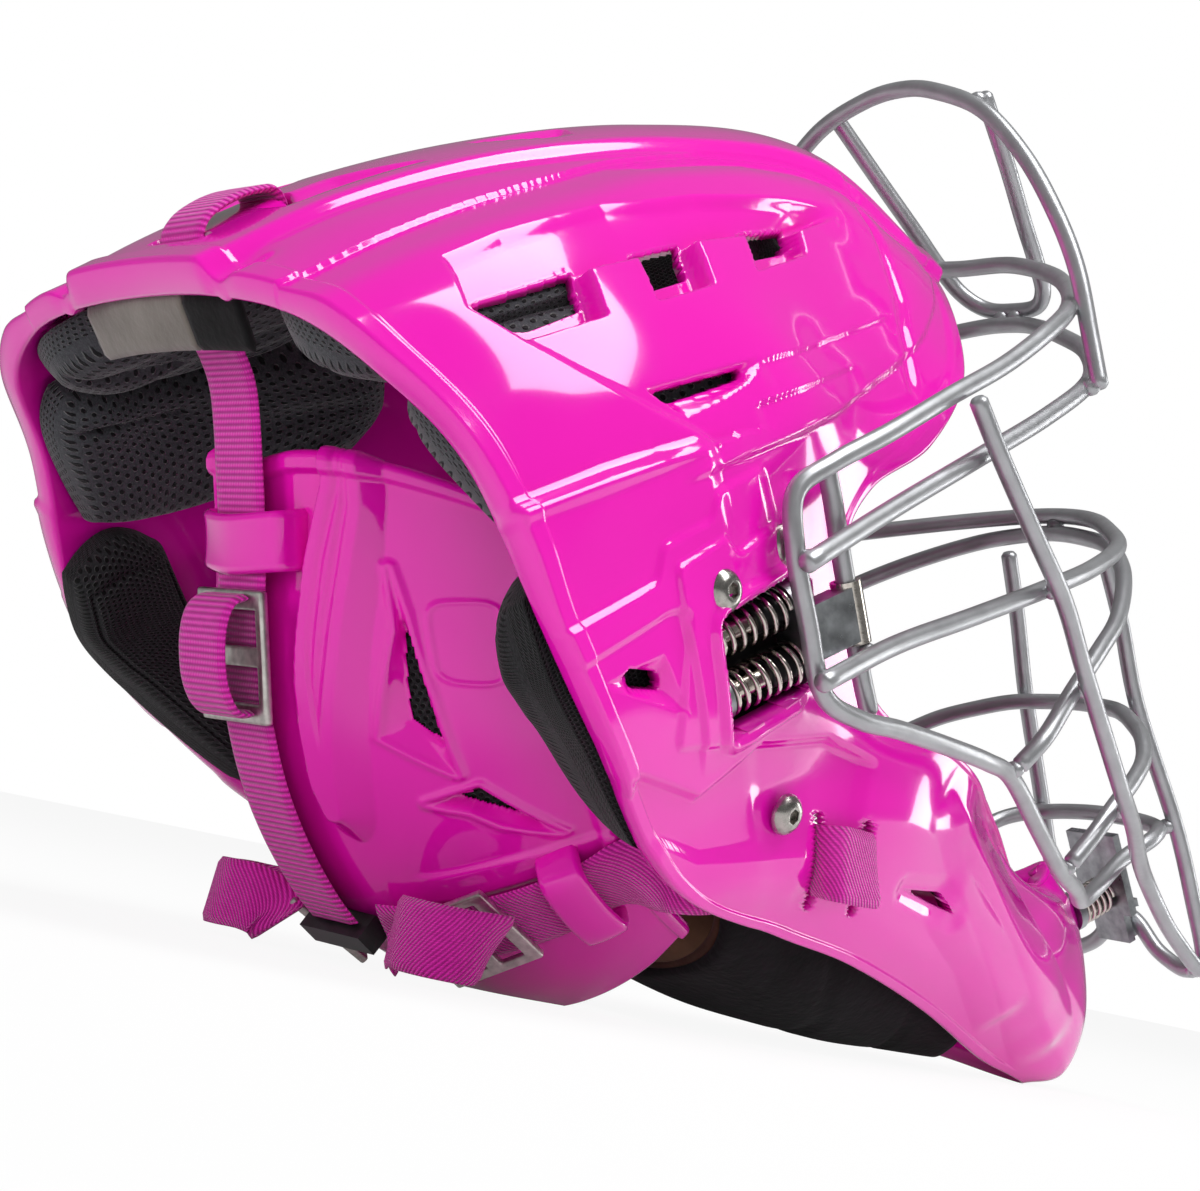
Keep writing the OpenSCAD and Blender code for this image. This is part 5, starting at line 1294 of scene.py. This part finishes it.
def make_side_straps():
    spots = [[4.9, 4.55], [5.4, 4.65], [5.9, 4.75], [6.5, 4.8], [7.1, 4.8], [7.7, 4.75]]
    route = [hug(s, t, STRAP_OFF + 0.3) for s, t in spots]
    route += [[33, 63.5, -98], [39, 68, -100.5], [44.5, 69, -102.5], [49, 69, -104.5]]
    edges = [unit(plate_at(s, t - 0.3) - plate_at(s, t + 0.3)) for s, t in spots]
    edges += [[0.1, 0.1, 1], [0.1, 0.1, 1], [0.15, 0.1, 1], [0.2, 0.1, 1]]
    s, t = SIDE_BUCKLE_AT
    slide_at = hug(s, t, STRAP_OFF + STRAP_T / 2 + BUCKLE_T / 2 + 0.8)
    tail_at = hug(s, t, STRAP_OFF + STRAP_T + BUCKLE_T + 1.5)
    out, across = plate_out(s, t), plate_at(s, t - 0.3) - plate_at(s, t + 0.3)
    axes = np.array([unit(plate_at(s + 0.5, t) - plate_at(s - 0.5, t)), unit(across), out])
    tail, twist = tail_at + np.array(TAIL_SPOTS) @ axes, np.array(TAIL_TWIST) @ axes
    for side, turn in SIDES:
        band = strap(f"band_side_{side}", turn(route), turn(edges), SIDE_STRAP_W, "twill_webbing", None,
                     f"side_strap_{side}")
        tuple(rest(turn(route[5])))
        tuple(rest(turn(route[8])))
        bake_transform(band)
        buckle(f"slide_{side}", f"side_buckle_{side}", turn(slide_at), turn(out), turn(across),
               SIDE_STRAP_W + 6, 24, 3.6, SIDE_STRAP_W + 1)
        strap(f"band_tail_{side}", turn(tail), turn(twist), SIDE_STRAP_W * 0.85, "twill_webbing", "nape_body",
              f"side_tail_{side}")
        strap(f"band_cheek_{side}", turn(CHEEK_LOOP), turn([0.21, 0, 1]), SIDE_STRAP_W - 2, "twill_webbing",
              "shell_body", f"cheek_loop_{side}")


# throat cup and crown tab
CUP_STATIONS = [
    [62, 44.8, -120, -146], [82, 43.3, -132, -166], [104, 37.3, -148, -182], [126, 28.8, -164, -195],
    [145, 18.3, -182, -207]]


def cup_rows(grow):
    """The throat cup's cross-sections; its skins are drawn in where it is stitched."""
    stations = curve(CUP_STATIONS, 10)
    a = np.radians(90 + np.linspace(-90, 90, 64))
    c, s = np.cos(a), np.sin(a)
    x, half, top, low = (stations[:, i:i + 1] for i in range(4))
    along = np.linspace(0, 1, len(stations))[:, None]
    seams = np.exp(-((along - 0.42 - 0.05 * c) / 0.012) ** 2) + np.exp(-((along - 0.72) / 0.012) ** 2)
    crease = 0.8 * np.sin(5 * a + x / 14) * np.sin(a) + 1.3 * seams * np.sin(a) ** 0.5
    grow = grow + (crease if grow == 0 else -0.6 * crease)
    return np.stack([x + 0 * c, (half - grow) * c, top - (top - low - grow) * s], -1)


def make_throat_cup():
    outer, inner = cup_rows(0), cup_rows(CUP_WALL)
    middle = outer * 0.45 + inner * 0.55
    skins = (("throat_cover", outer, middle, "black_suede", "black_pad"),
             ("throat_leather", middle, inner, "brown_leather", "brown_leather"))
    for name, front, back, look, slot in skins:
        points, faces = closed_grid(front, back, 3, 0.5)
        part = piece(name, points, faces, look, "shell_body", ("throat_cup",))
    edges = [[[q[0], sign * (q[1] - CUP_WALL / 2), q[2] + 3.2] for q in CUP_STATIONS] for sign in (-1, 1)]
    points, faces = joined([tube(curve(edge, 8), CUP_WALL, 14) for edge in edges])
    rim = piece("throat_rim", points, faces, "black_suede", "shell_body", ("throat_cup_rim",))


def make_crown_tab():
    """The flap inside the rear edge: suede, with an end of black fabric."""
    path = curve(whole([[-10.5, 34, 43.2], [-11.8, 17, 44.4], [-11.8, 0, 44.7]]), 12)
    part = np.where(path[:, 1] >= -14, 0, -1)
    for name, which, look in (("crown_flap", 0, "tan_suede"), ("crown_flap_end", -1, "black_suede")):
        points, faces, uv = ribbon(path[part == which], [-0.1, 0, 1], 13, 2.0, 9)
        piece(name, points, faces, look, "shell_body", ("crown_tab",), uv)


# floor, world and lamps
# shares of white that the camera and polished parts see on the floor, and the surround's strengths
FLOOR_GLOW, MIRRORED_FLOOR_GLOW = 0.92, 0.12
WORLD_LIGHT, MIRRORED_LIGHT = 0.13, 0.2


def make_floor():
    """A white floor that the camera and polished parts see brighter than its own shading."""
    bpy.ops.mesh.primitive_plane_add(size=12, location=(0, 0, 0))
    floor = bpy.context.active_object
    floor.name = "floor"
    n = Nodes("floor_white", roughness=0.9, base_color=(0.86, 0.86, 0.86, 1))
    ray = n.add("ShaderNodeLightPath").outputs
    glow = n.add("ShaderNodeEmission", {"Color": (1, 1, 1, 1), "Strength": 1.0})
    mirrored = n.math("MAXIMUM", ray["Is Glossy Ray"], ray["Is Transmission Ray"])
    seen = n.math("ADD", n.math("MULTIPLY", ray["Is Camera Ray"], FLOOR_GLOW),
                  n.math("MULTIPLY", mirrored, MIRRORED_FLOOR_GLOW))
    mix = n.add("ShaderNodeMixShader", {0: seen})
    n.tree.links.new(n.shader.outputs[0], mix.inputs[1])
    n.tree.links.new(glow.outputs[0], mix.inputs[2])
    n.tree.links.new(mix.outputs[0], n.tree.nodes["Material Output"].inputs["Surface"])
    floor.data.materials.append(n.mat)


def make_world():
    """A white surround: full for the camera, weaker in mirrors, faint as a lamp."""
    world = bpy.data.worlds.new("studio")
    bpy.context.scene.world = world
    world.use_nodes = True
    tree = world.node_tree
    back = tree.nodes["Background"]
    back.inputs["Color"].default_value = (1, 1, 1, 1)
    path = tree.nodes.new("ShaderNodeLightPath")
    strength = None
    for kind, share in (("Is Glossy Ray", MIRRORED_LIGHT), ("Is Transmission Ray", 1), ("Is Camera Ray", 1)):
        scale, most = tree.nodes.new("ShaderNodeMath"), tree.nodes.new("ShaderNodeMath")
        scale.operation, most.operation = "MULTIPLY", "MAXIMUM"
        tree.links.new(path.outputs[kind], scale.inputs[0])
        scale.inputs[1].default_value = share
        tree.links.new(scale.outputs[0], most.inputs[0])
        most.inputs[1].default_value = WORLD_LIGHT
        if strength:
            tree.links.new(strength, most.inputs[1])
        strength = most.outputs[0]
    tree.links.new(strength, back.inputs["Strength"])


# place, aim, size in metres, power in watts and whether polished parts mirror it
LAMPS = {
    "overhead": ((0.15, -0.45, 1.3), (0.0, 0, 0.1), (0.6, 1.2), 17, True),
    "fill_left": ((-1.4, -1.6, 0.5), (0, 0, 0.12), (1.5, 1.5), 15, False),
    "front_right": ((1.2, -1.2, 0.5), (0.05, 0, 0.12), (0.7, 0.9), 6, False),
    "front_strip": ((1.3, -0.25, 0.35), (0.1, 0, 0.1), (0.25, 0.8), 4, True),
    "rear_low": ((-1.6, 0.1, 0.35), (0, 0, 0.12), (0.5, 0.9), 8, False),
}


def make_lamps():
    for name, (at, aim, size, power, mirrored) in LAMPS.items():
        data = bpy.data.lights.new(name, "AREA")
        data.shape, data.size, data.size_y, data.energy = "RECTANGLE", size[0], size[1], power
        lamp = bpy.data.objects.new(name, data)
        bpy.context.scene.collection.objects.link(lamp)
        lamp.location = at
        lamp.visible_glossy = mirrored
        lamp.rotation_euler = (Vector(aim) - Vector(at)).to_track_quat("-Z", "Y").to_euler()


make_floor()
make_world()
make_lamps()
make_shell()
make_cage()
make_springs()
dress_nodes()
make_screws()
make_pads()
make_nape_plate()
strap_guides()
make_nape_pad()
make_top_strap()
make_side_straps()
make_throat_cup()
make_crown_tab()
bpy.context.scene.view_settings.view_transform = "Standard"
